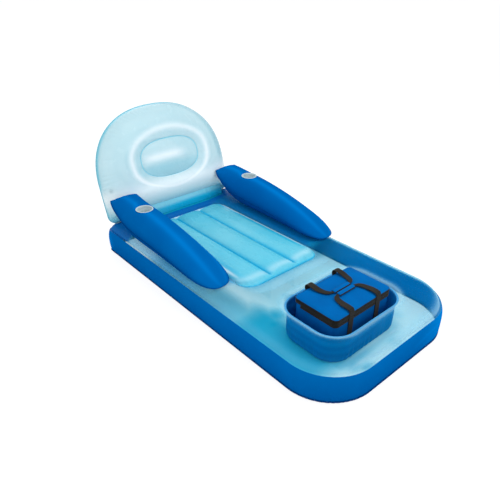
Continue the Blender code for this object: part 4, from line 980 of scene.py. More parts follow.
def makeCup(word, side):
    # a thin formed liner: a rolled flange, three shallow steps and a rounded floor corner
    flange, top, floor, wall = cup["flange"], cup["top"], cup["floor"], cup["wall"]
    outer = [(flange, -0.0006), (flange + 0.0005, 0.0002), (flange, 0.0012), (flange - 0.001, 0.0018),
             (flange - 0.003, 0.0020), (top + 0.0025, 0.0018), (top + 0.0008, 0.0012),
             (top - 0.0002, 0.0000), (top - 0.0006, -0.003)]
    inner = [(top - 0.0010, -0.010), (top - 0.0014, -0.0165), (top - 0.0021, -0.018), (top - 0.0030, -0.045),
             (floor + 0.0006, -0.0465), (floor, -0.066), (floor - 0.0008, -0.072), (floor - 0.003, -0.0765),
             (floor - 0.007, -0.0786), (floor - 0.014, -0.0788), (0.012, -0.0782), (0.0, -0.0780)]
    behind = [(r + wall, h - wall * 0.6 - 0.0006) for r, h in inner[-2::-1]]
    under = [(top + 0.0006, -0.003), (top + 0.0010, -0.0004), (flange - 0.002, -0.0006), (flange, -0.0006)]
    piece = turnedPiece("cup_" + word, [*outer, *inner, (0.0, -0.0800), *behind, *under], cup["sides"],
                        Matrix.Translation((side * cup["x"], cup["y"], cup["z"])))
    return dress(piece, "cup", "base", ["cup_liner_" + word])


armPieces = {}
for word, side, seed in (("left", -1, 101), ("right", 1, 121)):
    armPieces[word] = makeArmrest("armrest_" + word, side, seed)
    makeCup(word, side)
print("armrests made")


# Backrest

back = dict(y=0.765, z=0.145, lean=math.radians(17), halfX=0.40, lowS=0.008, shoulder=0.20, top=0.573,
            footRadius=0.04, power=2.3, crease=0.094, bulge=0.022, ovalS=0.284, ovalX=0.180, ovalHalfS=0.101,
            dome=0.012, fin=0.0042, film=0.0006, columns=560, domeRows=40, ringRows=84, pucker=0.0003,
            edgePucker=0.0012, ovalPower=2.5, glow=0.057, lowPart=0.08)
up = np.array([0, math.sin(back["lean"]), math.cos(back["lean"])])
toSeat = np.array([0, -math.cos(back["lean"]), math.sin(back["lean"])])


def onBackrest(a, s, n):
    # a point a across, s up the leaning plane and n towards the seat
    a, s, n = np.broadcast_arrays(a, s, n)
    place = np.array([0, back["y"], back["z"]]) + s[..., None] * up + n[..., None] * toSeat
    return place + a[..., None] * np.array([1.0, 0, 0])


def backOutline(count):
    # the weld line, evenly spaced: a superellipse arch over rounded foot corners
    turn = np.linspace(0, np.pi, 4000)
    archA = back["halfX"] * sharp(np.cos(turn), 2 / back["power"])
    archS = back["shoulder"] + (back["top"] - back["shoulder"]) * sharp(np.sin(turn), 2 / back["power"])
    r, low = back["footRadius"], back["lowS"]
    quarter = np.linspace(0, np.pi / 2, 200)
    cornerA, cornerS = back["halfX"] - r + r * np.cos(quarter), low + r - r * np.sin(quarter)
    a = np.concatenate([archA, -cornerA, cornerA[::-1], archA[:1]])
    s = np.concatenate([archS, cornerS, cornerS[::-1], archS[:1]])
    length = lengthAlong(np.stack([a, s], 1))
    keep = np.concatenate([[True], np.diff(length) > 1e-7])
    a, s, length = a[keep], s[keep], length[keep]
    run = np.linspace(0, length[-1], count, endpoint=False)
    return np.interp(run, length, a), np.interp(run, length, s), run, length[-1]


def ovalPoint(a, s):
    # where the line from the oval's centre to (a, s) meets the oval
    ds, power = s - back["ovalS"], back["ovalPower"]
    reach = np.abs(a / back["ovalX"]) ** power + np.abs(ds / back["ovalHalfS"]) ** power
    reach = 1 / reach ** (1 / power)
    return a * reach, back["ovalS"] + ds * reach


def ringDepth(share):
    # half the ring's thickness, at a share of the way from the crease to the weld
    bulge = back["bulge"] * np.sin(np.pi * share) ** 0.9
    return back["crease"] * np.sqrt(np.clip(1 - share ** 2, 0, 1)) + bulge


def makeBackrest():
    # one pillow: a dome inside the oval crease, a fat ring from the crease to the weld, the same
    # behind, and a thin welded fin round it. Puckers cross the crease and the weld
    a, s, run, total = backOutline(back["columns"])
    ovalA, ovalS = ovalPoint(a, s)
    ovalTurn = np.unwrap(np.arctan2((ovalS - back["ovalS"]) / back["ovalHalfS"], ovalA / back["ovalX"]))
    ovalRun = (ovalTurn - ovalTurn[0]) / (2 * np.pi)
    normal = np.stack([np.gradient(s), -np.gradient(a)])
    normal /= np.hypot(*normal)
    domeShare = np.sin(np.linspace(0, np.pi / 2, back["domeRows"]))[:, None]
    domeA, inDomeS = ovalA * domeShare, (ovalS - back["ovalS"]) * domeShare
    domeGap = (1 - domeShare) * np.hypot(ovalA, ovalS - back["ovalS"])
    ringShare = eased(back["ringRows"])
    ringA, ringS = lerp(ovalA, a, ringShare), lerp(ovalS, s, ringShare)
    wide = np.hypot(a - ovalA, s - ovalS)
    fromCrease, fromWeld = ringShare * wide, (1 - ringShare) * wide
    finOut = np.array([0, 0.35, 0.95, 1.0])[:, None] * back["fin"]
    finDepth = np.array([0.0006, 0.0006, 0.0005, 0.0])[:, None]
    finA, finS = a + normal[0] * finOut, s + normal[1] * finOut
    below = smoothStep(back["ovalS"] + 0.12, back["ovalS"] - 0.15, ringS)
    halves = []
    for face, seed, shown in ((1, 141, 1.0), (-1, 151, 0.25)):
        creaseWave = gathers(ovalRun, 1.0, seed, 1 / 42, 1 / 6, 0.6)
        weldWave = gathers(run, total, seed + 2, 0.024, 0.3)
        ring = ringDepth(ringShare) + back["pucker"] * creaseWave * bump(fromCrease, 0.012)
        ring = ring + back["edgePucker"] * weldWave * bump(fromWeld, 0.013) * smoothStep(0, 0.01, fromWeld)
        dome = back["crease"] + back["dome"] * (1 - domeShare ** 2) ** 0.8
        dome = dome + back["pucker"] * 0.8 * creaseWave * bump(domeGap, 0.012)
        # fine deeper lines at the crease and the weld, a deeper foot and dome's lower half
        foot = 0.95 * smoothStep(0.070, 0.015, ringS)
        ringDeep = strongest(0.85 * shown * bell(fromCrease, 0.0035), 0.85 * bell(fromWeld, 0.004), foot)
        domeDeep = strongest(0.85 * shown * bell(domeGap, 0.0035), patch(0.30, (inDomeS, -0.01, -0.05)))
        # painted highlights: a pale ring round the crease, a pale wash under it and a pale band across the
        # dome
        glow = (0.74 + 0.24 * below) * bell(fromCrease - back["glow"], 0.019)
        ringHighlight = shown * np.maximum(glow, mark(ringS, 0.80, 0.140, 0.055)) * (1 - foot)
        domeHighlight = shown * mark(inDomeS, 0.85, 0.012, 0.026) * (1 - domeShare ** 6)
        domeHighlight = domeHighlight * smoothStep(0.16, 0.02, domeA)
        domePoints = onBackrest(domeA, back["ovalS"] + inDomeS, face * dome)
        ringPoints = onBackrest(ringA, ringS, face * np.maximum(ring, 0.0006))
        halves += [grid(domePoints, wrapColumns=True, weld=domeDeep, pale=domeHighlight),
                   grid(ringPoints, wrapColumns=True, weld=ringDeep, pale=ringHighlight),
                   grid(onBackrest(finA, finS, face * finDepth), wrapColumns=True, weld=0.6)]
    piece = makePiece("backrest", halves, crease=60, merge=1e-5)
    dress(piece, "whiteFilm", "backrest", ["backrest_front_sheet", "backrest_back_sheet"])
    return piece


def makeRingBeam():
    # the oval web that holds both faces together at the crease
    turn = turns(240)[None, :]
    share = np.linspace(-1, 1, 21)[:, None]
    gather = 0.004 * ripples(turn / (2 * np.pi), 1.0, 161, 1 / 30) * np.abs(share)
    waist = 1 - 0.05 * (1 - share ** 2) + gather
    ovalA, ovalS = ovalPoint(back["ovalX"] * np.cos(turn), back["ovalS"] + back["ovalHalfS"] * np.sin(turn))
    halfDepth = back["crease"] - back["film"]
    points = onBackrest(ovalA * waist, lerp(back["ovalS"], ovalS, waist), share * halfDepth)
    middle = onBackrest(0, back["ovalS"], 0)
    piece = makePiece("backrest_ring", [grid(points, wrapColumns=True)], inside=middle, crease=60)
    return dress(piece, "webFilm", "backrest", ["backrest_ring_beam"])


def frontFace(a, share):
    # a point of the front face at x = a, low on the ring, at that share from the oval to the foot
    outA, outS, *_ = backOutline(2400)
    low = outS < back["lowPart"]
    order = np.argsort(outA[low])
    outA, outS = outA[low][order], outS[low][order]
    ovalA, ovalS = ovalPoint(outA, outS)
    ringA, ringS = lerp(ovalA, outA, share), lerp(ovalS, outS, share)
    keep = np.argsort(ringA)
    return onBackrest(a, np.interp(a, ringA[keep], ringS[keep]), ringDepth(share) + back["film"])


gusset = dict(halfX=0.2966, y=0.690, swell=0.007, pucker=0.0007, ring=0.75, rows=34, columns=240,
              flange=[-0.010, -0.006, -0.002])
skirt = dict(halfX=0.372, y=0.776, endY=0.7815, pucker=0.0012, rows=12, columns=220)


def makeGusset():
    # a film apron from a short welded flange on the deck up to the backrest's front, bellied and
    # gathered
    x = np.linspace(-gusset["halfX"], gusset["halfX"], gusset["columns"])[None, :]
    share = np.linspace(0, 1, gusset["rows"])[:, None]
    body = lerp(onDeck(x, gusset["y"]), frontFace(x, gusset["ring"]), share[..., None])
    wave = gathers(x + 1, 2, 171, 0.03, 0.3, 0.5)
    body[..., 1] -= gusset["swell"] * np.sin(np.pi * share) + gusset["pucker"] * wave * bothEnds(share, 0.15)
    flange = onDeck(x, gusset["y"] + np.array(gusset["flange"])[:, None])
    # deeper at the foot, and painted light: paler towards the backrest and towards the near side
    high = np.concatenate([0 * flange[:, :1, 0], share])
    weld = 0.8 * bell(high, 0.06) * (high < 0.3) + 0 * x
    pale = strongest(patch(0.95, (high + 0.10 * smoothStep(0.1, -0.3, x), 0.45, 0.85)),
                     patch(0.35, (x, 0.0, -0.28)))
    grids = [grid(np.concatenate([flange, body]), weld=weld, pale=pale * (1 - weld))]
    piece = makePiece("backrest_apron", grids, inside=(0, 3, 0.1), crease=60)
    dress(piece, "cyanFilm", None, ["backrest_gusset"])
    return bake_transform(piece)


def makeHingeStrip():
    # the short film skirt that joins the backrest's foot to the deck
    x = np.linspace(-skirt["halfX"], skirt["halfX"], skirt["columns"])[None, :]
    share = np.linspace(0, 1, skirt["rows"])[:, None]
    body = lerp(onBackrest(x, back["lowS"] + 0.001, 0), onDeck(x, skirt["y"]), share[..., None])
    body[..., 1] += skirt["pucker"] * np.sin(np.pi * share) * ripples(x + 1, 2, 175, 0.025)
    points = np.concatenate([body, onDeck(x, skirt["endY"])])
    piece = makePiece("hinge_skirt", [grid(points, weld=0.6)], inside=(0, -3, 0.1), crease=60)
    dress(piece, "whiteFilm")
    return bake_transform(piece)


backrestPiece = makeBackrest()
makeRingBeam()
makeGusset()
makeHingeStrip()
print("backrest made")


# Valves

valve = dict(flange=0.0125, neck=0.0070, bore=0.0052, neckLow=-0.0095, cap=0.0085, pin=0.0048, pinLow=-0.0049,
             sides=64)
valveStands = {
    "base": ((-0.15, 0.805, 0.0625), (0, 1, 0), "base"),
    "armrest_left": ((-0.335, 0.66647, 0.26472), (0, 0.77777, -0.62855), "base"),
    "armrest_right": ((0.335, 0.66647, 0.26472), (0, 0.77777, -0.62855), "base"),
    "backrest": ((-0.30552, 0.90099, 0.27444), (-0.36118, 0.87403, -0.32499), "backrest"),
}


def surfaceShift(piece, place, axis):
    # how far along its axis a valve stands off the film that carries it
    seen = piece.evaluated_get(bpy.context.evaluated_depsgraph_get())
    tree = BVHTree.FromObject(seen, bpy.context.evaluated_depsgraph_get())
    hit = tree.ray_cast(place + axis * 0.04, -axis, 0.08)
    return 0.0 if hit[0] is None else (hit[0] - place).dot(axis)


def makeValves():
    carriers = {"base": bpy.data.objects["side_band"], "armrest_left": armPieces["left"],
                "armrest_right": armPieces["right"], "backrest": backrestPiece}
    flange, neck, bore, neckLow, cap, pin, pinLow, sides = valve.values()
    # a dished flange, a raised lip round the bore and the neck inside
    bodyProfile = [
        (flange, -0.0006), (flange + 0.0002, 0.0000), (flange, 0.0005), (flange - 0.0008, 0.0009),
        (0.0100, 0.0010), (0.0084, 0.0011), (0.0078, 0.0016), (0.0072, 0.0018), (0.0060, 0.0018),
        (0.0054, 0.0015), (bore, 0.0008), (bore, neckLow + 0.0006), (0.0046, neckLow + 0.0002),
        (0.0046, neckLow), (neck - 0.0004, neckLow), (neck, neckLow + 0.0006), (neck, -0.0030),
        (neck + 0.0006, -0.0014), (neck + 0.0016, -0.0007), (flange, -0.0006)]
    # a cap with a thumb hollow and a ribbed pin
    plugProfile = [
        (0.0, pinLow), (pin - 0.0010, pinLow), (pin - 0.0004, pinLow + 0.0004), (pin, -0.0036),
        (pin - 0.0003, -0.0030), (pin, -0.0022), (pin - 0.0003, -0.0015), (pin, -0.0008), (pin, 0.0020),
        (cap - 0.0006, 0.0021), (cap, 0.0025), (cap, 0.0037), (cap - 0.0004, 0.0041), (cap - 0.0010, 0.0043),
        (0.0062, 0.0043), (0.0056, 0.0040), (0.0050, 0.0034), (0.0030, 0.0032), (0.0, 0.0031)]
    for name, (place, axis, body) in valveStands.items():
        place, axis = Vector(place), Vector(axis).normalized()
        stand = standOn(place + axis * surfaceShift(carriers[name], place, axis), axis)
        piece = turnedPiece(name + "_valve_body", bodyProfile, sides, stand)
        dress(piece, "valve", body, [name + "_valve"])
        plug = turnedPiece(name + "_plug_body", plugProfile, sides, stand)
        dress(plug, "plug", name + "_valve_plug", [name + "_valve_plug"])


makeValves()
print("valves made")


# Cooler bag

bag = dict(spacing=0.003, bulge=0.0014, crease=0.0006, quilt=0.0009, ribs=17)
bagFoot = [(None, 0.0021), (0.10, 0.0021), (0.04, 0.0021), (0.022, 0.0021), (0.016, 0.0022), (0.011, 0.0034),
           (0.0065, 0.0062), (0.0030, 0.0100), (0.0010, 0.0142), (0.0002, 0.0180)]
bagSides = [(0.0, height) for height in np.linspace(0.024, 0.150, 30)]
bagRim = [(0.0, 0.156), (0.0, 0.160), (0.0001, 0.1626), (0.0006, 0.1634), (0.0015, 0.1637), (0.0024, 0.1634),
          (0.0030, 0.1626), (0.0030, 0.150), (0.0030, 0.12), (0.0030, 0.08), (0.0030, 0.04), (0.0030, 0.022),
          (0.006, 0.013), (0.012, 0.0070), (0.019, 0.0051), (0.04, 0.0051), (None, 0.0051)]
liningFoot = [(None, 0.0054), (0.04, 0.0054), (0.0194, 0.0056), (0.012, 0.0076), (0.0066, 0.0125),
              (0.0036, 0.0214)]
liningSides = [(0.0036, height) for height in np.linspace(0.03, 0.150, 14)]
liningRim = [(0.0036, 0.1620), (0.0042, 0.1630), (0.0056, 0.1633), (0.0068, 0.1628), (0.0074, 0.1610)]
liningInner = [(0.0074, height) for height in np.linspace(0.150, 0.0254, 16)]
liningInner += [(0.010, 0.0170), (0.016, 0.0112), (0.0234, 0.0096), (0.05, 0.0095), (None, 0.0094)]
lid = dict(edge=0.1830, edgeRise=0.0088, edgeReach=0.011, crown=0.0050, crownReach=0.080, sag=0.0010,
           under=0.1845, piping=0.0019, pipingInset=0.0010, pipingZ=0.1842, topRows=14)
# the lid's padded underside and skirt, its rounded edge, and the black band round the skirt
lidSkirt = [(0.025, 0.1842), (0.012, 0.1835), (0.0075, 0.1815), (0.0062, 0.176), (0.006, 0.1660),
            (0.0060, 0.1646), (0.0040, 0.1642), (0.0024, 0.1642), (0.0019, 0.1650), (0.0018, 0.168),
            (0.0018, 0.173), (0.0018, 0.178), (0.0016, 0.1815)]
lidEdge = [0.0, 0.0004, 0.0012, 0.0024, 0.004, 0.006, 0.0085, 0.0115, 0.015, 0.020, 0.026, 0.034]
lidBand = [(0.0008, 0.1650), (0.0001, 0.1655), (-0.0001, 0.1730), (0.0001, 0.1812), (0.0008, 0.1818),
           (0.0016, 0.1812), (0.0016, 0.1655)]
tape = dict(out=0.0004, thick=0.0012, endY=-0.418, low=(0.1511, 0.1631), high=(0.1645, 0.1765), clear=0.1770,
            pitch=0.0026, tooth=(0.0008, 0.0008, 0.00075), toothOut=0.0002, toothEnd=0.004)


def shell(plan, profile, spacing):
    # a profile of (inset, height) carried round a plan, closed on its middle where the inset is
    # None, with its lengths both ways
    points, outward, run, total = outline(plan, spacing)
    rows = [point(*middleOf(plan), height) + 0 * point(run, 0, 0) if inset is None
            else setIn(points, outward, inset, height) for inset, height in profile]
    steps = np.array([(0.2 if inset is None else inset, height) for inset, height in profile])
    return np.stack(rows), lengthsUv(np.append(run, total), lengthAlong(steps)), outward, run, total


def makeBagBody():
    # a soft shell: rounded foot, sides that swell a little between foot and zip, a turned rim
    points, uv, outward, run, total = shell(bagPlan, bagFoot + bagSides + bagRim, bag["spacing"])
    outer = (np.arange(len(points)) < len(bagFoot + bagSides))[:, None]
    sag = humped(points[..., 2], 0.020, 0.125) * outer
    free = smoothStep(-0.2, 0.3, -outward[:, 1])
    push = bag["bulge"] * free * (1 + 0.6 * ripples(run, total, 201, 0.12))
    push = (push - bag["crease"] * np.abs(ripples(run, total, 202, 0.05))) * sag
    points[..., :2] += outward * push[..., None]
    piece = makePiece("bag_body", [grid(points, wrapColumns=True, uv=uv)], crease=50)
    dress(piece, "bag", "bag", ["cooler_body"])
    # the foil lining, quilted inside
    lining = liningFoot + liningSides + liningRim
    points, uv, outward, run, total = shell(bagPlan, lining + liningInner, bag["spacing"])
    inner = (np.arange(len(points)) >= len(lining))[:, None]
    quilt = bag["quilt"] * np.abs(np.sin(run / total * 2 * np.pi * bag["ribs"]))
    quilt = quilt * humped(points[..., 2], 0.03, 0.12) * inner
    points[..., :2] -= outward * quilt[..., None]
    piece = makePiece("bag_lining", [grid(points, wrapColumns=True, uv=uv)], crease=50)
    return dress(piece, "foil", "bag", ["cooler_liner"])


def lidHeight(x, y):
    # the lid's top: a soft crown that falls to its piped edge, hollowed a little where it sags
    depth = depthIn(lidPlan, x, y, 0.01)
    edge = lid["edge"] + lid["edgeRise"] * quarterRound(depth / lid["edgeReach"])
    crown = lid["crown"] * quarterRound((depth - 0.008) / lid["crownReach"])
    return edge + crown - lid["sag"] * np.exp(-(x / 0.09) ** 2 - ((y + 0.49) / 0.06) ** 2)


def makeLid():
    points, outward, run, total = outline(lidPlan, bag["spacing"])
    sides = [setIn(points, outward, inset, height) for inset, height in lidSkirt]
    edge = np.stack([setIn(points, outward, inset, 0) for inset in lidEdge])
    top = np.concatenate([edge, towards(middleOf(lidPlan), edge[-1], lid["topRows"])[1:]])
    top[..., 2] = lidHeight(top[..., 0], top[..., 1])
    under = point(*middleOf(lidPlan), lid["under"]) + 0 * sides[0]
    rows = np.concatenate([[under], sides, top])
    wrapped = np.concatenate([rows, rows[:, :1]], 1)
    uv = np.stack([wrapped[..., 0], wrapped[..., 1] + wrapped[..., 2]], -1)
    piece = makePiece("bag_lid", [grid(rows, wrapColumns=True, uv=uv)], crease=50, merge=1e-5)
    dress(piece, "bag", "lid", ["cooler_lid"])
    # the band round the skirt, raised clear of the zip, and piping round the edge
    turn = turns(10)
    piping = np.stack([lid["pipingInset"] - lid["piping"] * np.cos(turn),
                       lid["pipingZ"] + lid["piping"] * np.sin(turn)], 1)
    for name, profile, girth in (("lid_band", lidBand, 0.034), ("lid_piping", piping, 0.008)):
        loop = carried(lidPlan, profile, bag["spacing"])[0]
        loop[(loop[..., 1] < tape["endY"]) & (loop[..., 2] < tape["clear"]), 2] = tape["clear"]
        uv = lengthsUv(np.append(run, total), np.linspace(0, girth, len(profile) + 1))
        trim = makePiece(name, [grid(loop, wrapRows=True, wrapColumns=True, uv=uv)], crease=60)
        dress(trim, "webbing", "lid")


def tapePath(out):
    # the part of the bag's outline round its foot, from one end of the zip to the other
    points, outward, run, total = outline(lidPlan, bag["spacing"])
    run = np.where(run > total / 2, run - total, run)
    order = np.argsort(run)
    order = order[points[order, 1] < tape["endY"]]
    path = points + outward * (out + bagPlan[0] - lidPlan[0])
    return path[order], outward[order], run[order]


def makeZip():
    for name, (low, high), body, node in (("zip_band_lower", tape["low"], "bag", "zip_tape_lower"),
                                          ("zip_band_upper", tape["high"], "lid", "zip_tape_upper")):
        path = tapePath(tape["out"] + tape["thick"] / 2)[0]
        middle = point(path[:, 0], path[:, 1], (low + high) / 2)
        piece = ribbon(name, middle, (0, 0, (high - low) / 2), tape["thick"], sides=24, power=0.25)
        dress(piece, "webbing", body, [node])
    # teeth: small blocks along both tapes, one row offset by half a pitch from the other
    path, outward, run = tapePath(tape["out"] + 0.0007)
    corners = np.array([(a, b, c) for a in (-1, 1) for b in (-1, 1) for c in (-1, 1)], float)
    along, out, high = (corners * tape["tooth"] + (0, tape["toothOut"], 0)).T
    faces = np.array([(0, 1, 3, 2), (4, 6, 7, 5), (0, 4, 5, 1), (2, 3, 7, 6), (0, 2, 6, 4), (1, 5, 7, 3)])
    for name, shift, z, body in (("zip_teeth_lower", 0.0, 0.16355, "bag"),
                                 ("zip_teeth_upper", 0.5, 0.16415, "lid")):
        start, end = run[0] + tape["toothEnd"], run[-1] - tape["toothEnd"]
        at = np.arange(start + shift * tape["pitch"], end, tape["pitch"])
        x, y, ox, oy = (np.interp(at, run, values)[:, None] for values in (*path.T, *outward.T))
        x, y = x - oy * along + ox * out, y + ox * along + oy * out
        mesh = bpy.data.meshes.new(name)
        mesh.from_pydata(point(x, y, z + high).reshape(-1, 3), [],
                         (faces + 8 * np.arange(len(at))[:, None, None]).reshape(-1, 4))
        mesh.uv_layers.new(name="UVMap")
        turnOutwards(mesh)
        dress(linked(name, mesh), "webbing", body)


def roundedBlock(name, low, high, power, steps=14):
    # a box with soft edges: a superellipsoid between two corners
    low, high = np.array(low), np.array(high)
    lat, lon = np.linspace(-np.pi / 2, np.pi / 2, steps)[:, None], turns(steps * 2)[None, :]
    level, x, y = sharp(np.cos(lat), power), sharp(np.cos(lon), power), sharp(np.sin(lon), power)
    unit = point(level * x, level * y, sharp(np.sin(lat), power))
    points = (low + high) / 2 + unit * (high - low) / 2
    return makePiece(name, [grid(points, wrapColumns=True)], crease=60, merge=1e-5)


slider = dict(low=(0.1768, -0.484, 0.1568), high=(0.1798, -0.472, 0.1708),
              bridgeLow=(0.1790, -0.4815, 0.1600), bridgeHigh=(0.1812, -0.4745, 0.1675))
tab = dict(back=0.1814, front=0.1826, y=-0.478, z=0.1512, halfY=0.0035, halfZ=0.0122, slotY=0.0013,
           slotZ=0.0022, slotUp=0.0082, bevel=0.0002, sides=72)


def makeSlider():
    # the runner with its bridge
    body = roundedBlock("zip_runner", slider["low"], slider["high"], 0.4)
    bridge = roundedBlock("bridge", slider["bridgeLow"], slider["bridgeHigh"], 0.6)
    build = bmesh.new()
    for piece in (body, bridge):
        build.from_mesh(piece.data)
    build.to_mesh(body.data)
    build.free()
    bpy.data.objects.remove(bridge)
    smoothed(body.data, 50)
    dress(body, "metal", "zip_slider", ["zip_slider"])
    # the pull: a flat tab with a slot near its head and a wider end
    turn = turns(tab["sides"])
    outerZ = tab["halfZ"] * sharp(np.cos(turn), 0.7)
    outerY = tab["halfY"] * sharp(np.sin(turn), 0.6) * (0.80 + 0.20 * smoothStep(-0.004, 0.010, -outerZ))
    outer = outerY, outerZ
    slot = tab["slotY"] * np.sin(turn), tab["slotZ"] * np.cos(turn) + tab["slotUp"]
    rows = [point(x, tab["y"] + ringY, tab["z"] + ringZ) for x, (ringY, ringZ) in (
        (tab["back"], outer), (tab["front"], outer), (tab["front"], slot), (tab["back"], slot))]
    pull = makePiece("zip_tab", [grid(np.stack(rows), wrapRows=True, wrapColumns=True)])
    bevel = pull.modifiers.new("edge", "BEVEL")
    bevel.width, bevel.segments, bevel.limit_method = tab["bevel"], 2, "ANGLE"
    dress(pull, "metal", "zip_pull", ["zip_pull"])


strap = dict(x=0.085, half=0.0150, thick=0.0020, lowZ=0.02, rows=60)
grip = dict(x=0.052, bar=0.006, z=0.2029, turn=0.016)
# the webbing of each side: y of the strap, its top, y of the grip, and the start of the handle
frontSide = dict(y=-0.603, top=0.174, gripY=-0.503, seed=211,
                 start=[(-0.603, 0.1750), (-0.603, 0.1850), (-0.6020, 0.1945), (-0.5975, 0.2008),
                        (-0.5875, 0.2029)])
rearSide = dict(y=-0.3786, top=0.160, gripY=-0.477, seed=213,
                start=[(-0.3786, 0.1681), (-0.3722, 0.182), (-0.3686, 0.194), (-0.3705, 0.2040),
                       (-0.3790, 0.2088), (-0.3925, 0.2086)])
sleeve = dict(length=grip["x"] * 0.92, halfY=0.0101, halfZ=0.0051, boreY=0.0066, boreZ=0.0013, binding=0.0030,
              bindingY=0.0096, bindingThick=0.0018)


def makeStraps(end, place):
    for word, side in (("left", -1), ("right", 1)):
        middle = point(side * strap["x"], place["y"], np.linspace(strap["lowZ"], place["top"], strap["rows"]))
        piece = ribbon("%s_webbing_%s" % (end, word), middle, (strap["half"], 0, 0), strap["thick"])
        dress(piece, "webbing", "bag", ["%s_strap_%s" % (end, word)])


def makeHandle(end, place):
    # one loop: up one arm, turned across into the grip bar, and down the other arm. Each row is
    # a place and half the width as a vector, which keeps to one side of the path
    x, half, gripX, bar, gripZ, turn = strap["x"], strap["half"], *grip.values()
    start, gripY = place["start"], place["gripY"]
    inward = math.copysign(1, start[0][0] - gripY)
    slant = (half + bar) / 2 / math.sqrt(2)
    rows = [(x, y, z, half, 0, 0) for y, z in start]
    rows.append((x - 0.002, lerp(start[-1][0], gripY, 0.45), gripZ, half, 0, 0))
    rows.append((gripX + turn, gripY + inward * turn * 0.55, gripZ, slant, -inward * slant, 0))
    rows += [(lerp(gripX, 0, share), gripY, gripZ, 0, -inward * bar, 0) for share in (0, 1 / 3, 2 / 3, 1)]
    right = np.array(rows, float)
    path = smoothPath(np.concatenate([right, right[-2::-1] * np.array([-1, 1, 1, -1, 1, 1])]), 260)
    piece = ribbon(end + "_loop", path[:, :3], path[:, 3:], strap["thick"])
    dress(piece, "webbing", end + "_handle", [end + "_handle"])


def makeGrip(end, place):
    # a padded sleeve: a soft rectangular section, tapered at both ends and dimpled by stitching
    length, gripY, gripZ, name = sleeve["length"], place["gripY"], grip["z"], end + "_sleeve"
    x = length * np.sin(np.linspace(-np.pi / 2, np.pi / 2, 70))[:, None]
    turn = turns(48)[None, :]
    cosine, sine = np.cos(turn), np.sin(turn)
    endRound = 0.72 + 0.28 * quarterRound((length - np.abs(x)) / 0.007)
    stitch = 1 - 0.05 * bell(cosine, 0.18) * (sine < 0)
    swell = endRound * stitch * (1 + 0.015 * ripples(x + 0.06, 0.12, place["seed"], 0.012))
    outer = point(x, gripY + sleeve["halfY"] * swell * sharp(cosine, 0.6),
                  gripZ + sleeve["halfZ"] * swell * sharp(sine, 0.6))
    bore = point(x, gripY + sleeve["boreY"] * sharp(cosine, 0.4), gripZ + sleeve["boreZ"] * sharp(sine, 0.4))
    along = np.concatenate([x[:, 0], x[::-1, 0], x[:1, 0]])
    uv = np.stack(np.broadcast_arrays(along[:, None], np.linspace(0, 0.05, 49)), -1)
    grids = [grid(np.concatenate([outer, bore[::-1]]), wrapRows=True, wrapColumns=True, uv=uv)]
    piece = makePiece(name, grids, crease=60)
    dress(piece, "bag", end + "_handle", [end + "_grip"])
    # webbing binding along both long edges of the sleeve
    x, half = np.linspace(-length * 0.97, length * 0.97, 60), (0, 0, sleeve["binding"])
    for word, edge in (("near", -1), ("far", 1)):
        middle = point(x, gripY + edge * sleeve["bindingY"], gripZ)
        binding = ribbon("%s_binding_%s" % (name, word), middle, half, sleeve["bindingThick"])
        dress(binding, "webbing", end + "_handle")


makeBagBody()
makeLid()
makeZip()
makeSlider()
for end, place in (("front", frontSide), ("rear", rearSide)):
    makeStraps(end, place)
    makeHandle(end, place)
    makeGrip(end, place)
print("bag made")


# Stage

view = dict(place=(-1.377, -1.484, 1.331), target=(-0.01838, 0.06976, 0.15088), lens=35.2)
lamps = {
    "overhead": dict(place=(0.3, -0.4, 3.2), target=(0, 0, 0.1), size=3.0, power=38),
    "front": dict(place=(1.6, -3.0, 2.2), target=(0, -0.1, 0.1), size=2.2, power=26),
    "left": dict(place=(-3.2, -0.2, 1.8), target=(0, 0.1, 0.15), size=2.4, power=13),
    "rear": dict(place=(0.6, 3.4, 2.0), target=(0, 0.3, 0.2), size=2.4, power=15),
}
ground = dict(size=80.0, colour=(0.86, 0.86, 0.86), seenWhite=0.80, seenShade=0.30)
sky = dict(light=0.72, colour=(0.97, 0.985, 1.0))


def lookAt(item, place, target):
    item.location = place
    item.rotation_euler = (Vector(target) - Vector(place)).to_track_quat("-Z", "Y").to_euler()


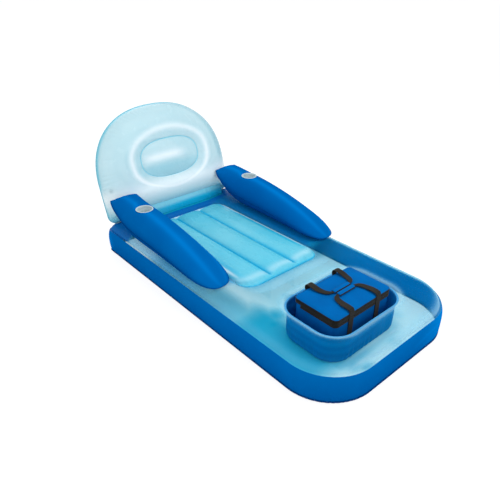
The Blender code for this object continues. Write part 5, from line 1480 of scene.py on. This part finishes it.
def makeStage():
    half = ground["size"] / 2
    corners = [(-half, -half, 0), (half, -half, 0), (half, half, 0), (-half, half, 0)]
    mesh = bpy.data.meshes.new("ground")
    mesh.from_pydata(corners, [], [(0, 1, 2, 3)])
    piece = linked("ground", mesh)
    groundMaterial, tree, shader = newMaterial("ground")
    speckle = noise(tree, 6.0, 2.0)
    coloured(tree, shader, speckle, ground["colour"], tuple(c * 1.02 for c in ground["colour"]))
    shader.inputs["Roughness"].default_value = 0.9
    shader.inputs["Specular IOR Level"].default_value = 0.0
    # the camera sees most of the floor's white and only part of its shade
    seen = addNode(tree, "LightPath", {}).outputs["Is Camera Ray"]
    glow = addNode(tree, "Emission", {"Color": (1, 1, 1, 1), "Strength": ground["seenWhite"]})
    dim = addNode(tree, "BsdfDiffuse", {"Color": (ground["seenShade"],) * 3 + (1,)})
    pale = addNode(tree, "AddShader", {0: glow.outputs[0], 1: dim.outputs[0]})
    mixed = addNode(tree, "MixShader", {0: seen, 1: shader.outputs[0], 2: pale.outputs[0]})
    tree.links.new(mixed.outputs[0], tree.nodes["Material Output"].inputs["Surface"])
    mesh.materials.append(groundMaterial)

    world = bpy.data.worlds.new("studio")
    bpy.context.scene.world = world
    world.use_nodes = True
    tree = world.node_tree
    tree.nodes.clear()
    path = addNode(tree, "LightPath", {}).outputs
    bright = math1(tree, "MAXIMUM", path["Is Glossy Ray"], path["Is Transmission Ray"])
    seen = math1(tree, "MAXIMUM", path["Is Camera Ray"], bright)
    white = addNode(tree, "Background", {"Color": (1, 1, 1, 1), "Strength": 1.0})
    light = addNode(tree, "Background", {"Color": (*sky["colour"], 1), "Strength": sky["light"]})
    mixed = addNode(tree, "MixShader", {0: seen, 1: light.outputs[0], 2: white.outputs[0]})
    addNode(tree, "OutputWorld", {"Surface": mixed.outputs[0]})

    for name, lamp in lamps.items():
        data = bpy.data.lights.new(name, "AREA")
        data.shape, data.size, data.energy = "DISK", lamp["size"], lamp["power"]
        lookAt(linked(name, data), lamp["place"], lamp["target"])

    lens = bpy.data.cameras.new("camera")
    lens.lens, lens.sensor_width, lens.clip_end = view["lens"], 36.0, 200.0
    camera = linked("camera", lens)
    lookAt(camera, view["place"], view["target"])
    bpy.context.scene.camera = camera
    bpy.context.scene.view_settings.view_transform = "Standard"


makeStage()
bpy.context.view_layer.update()
print("stage made")
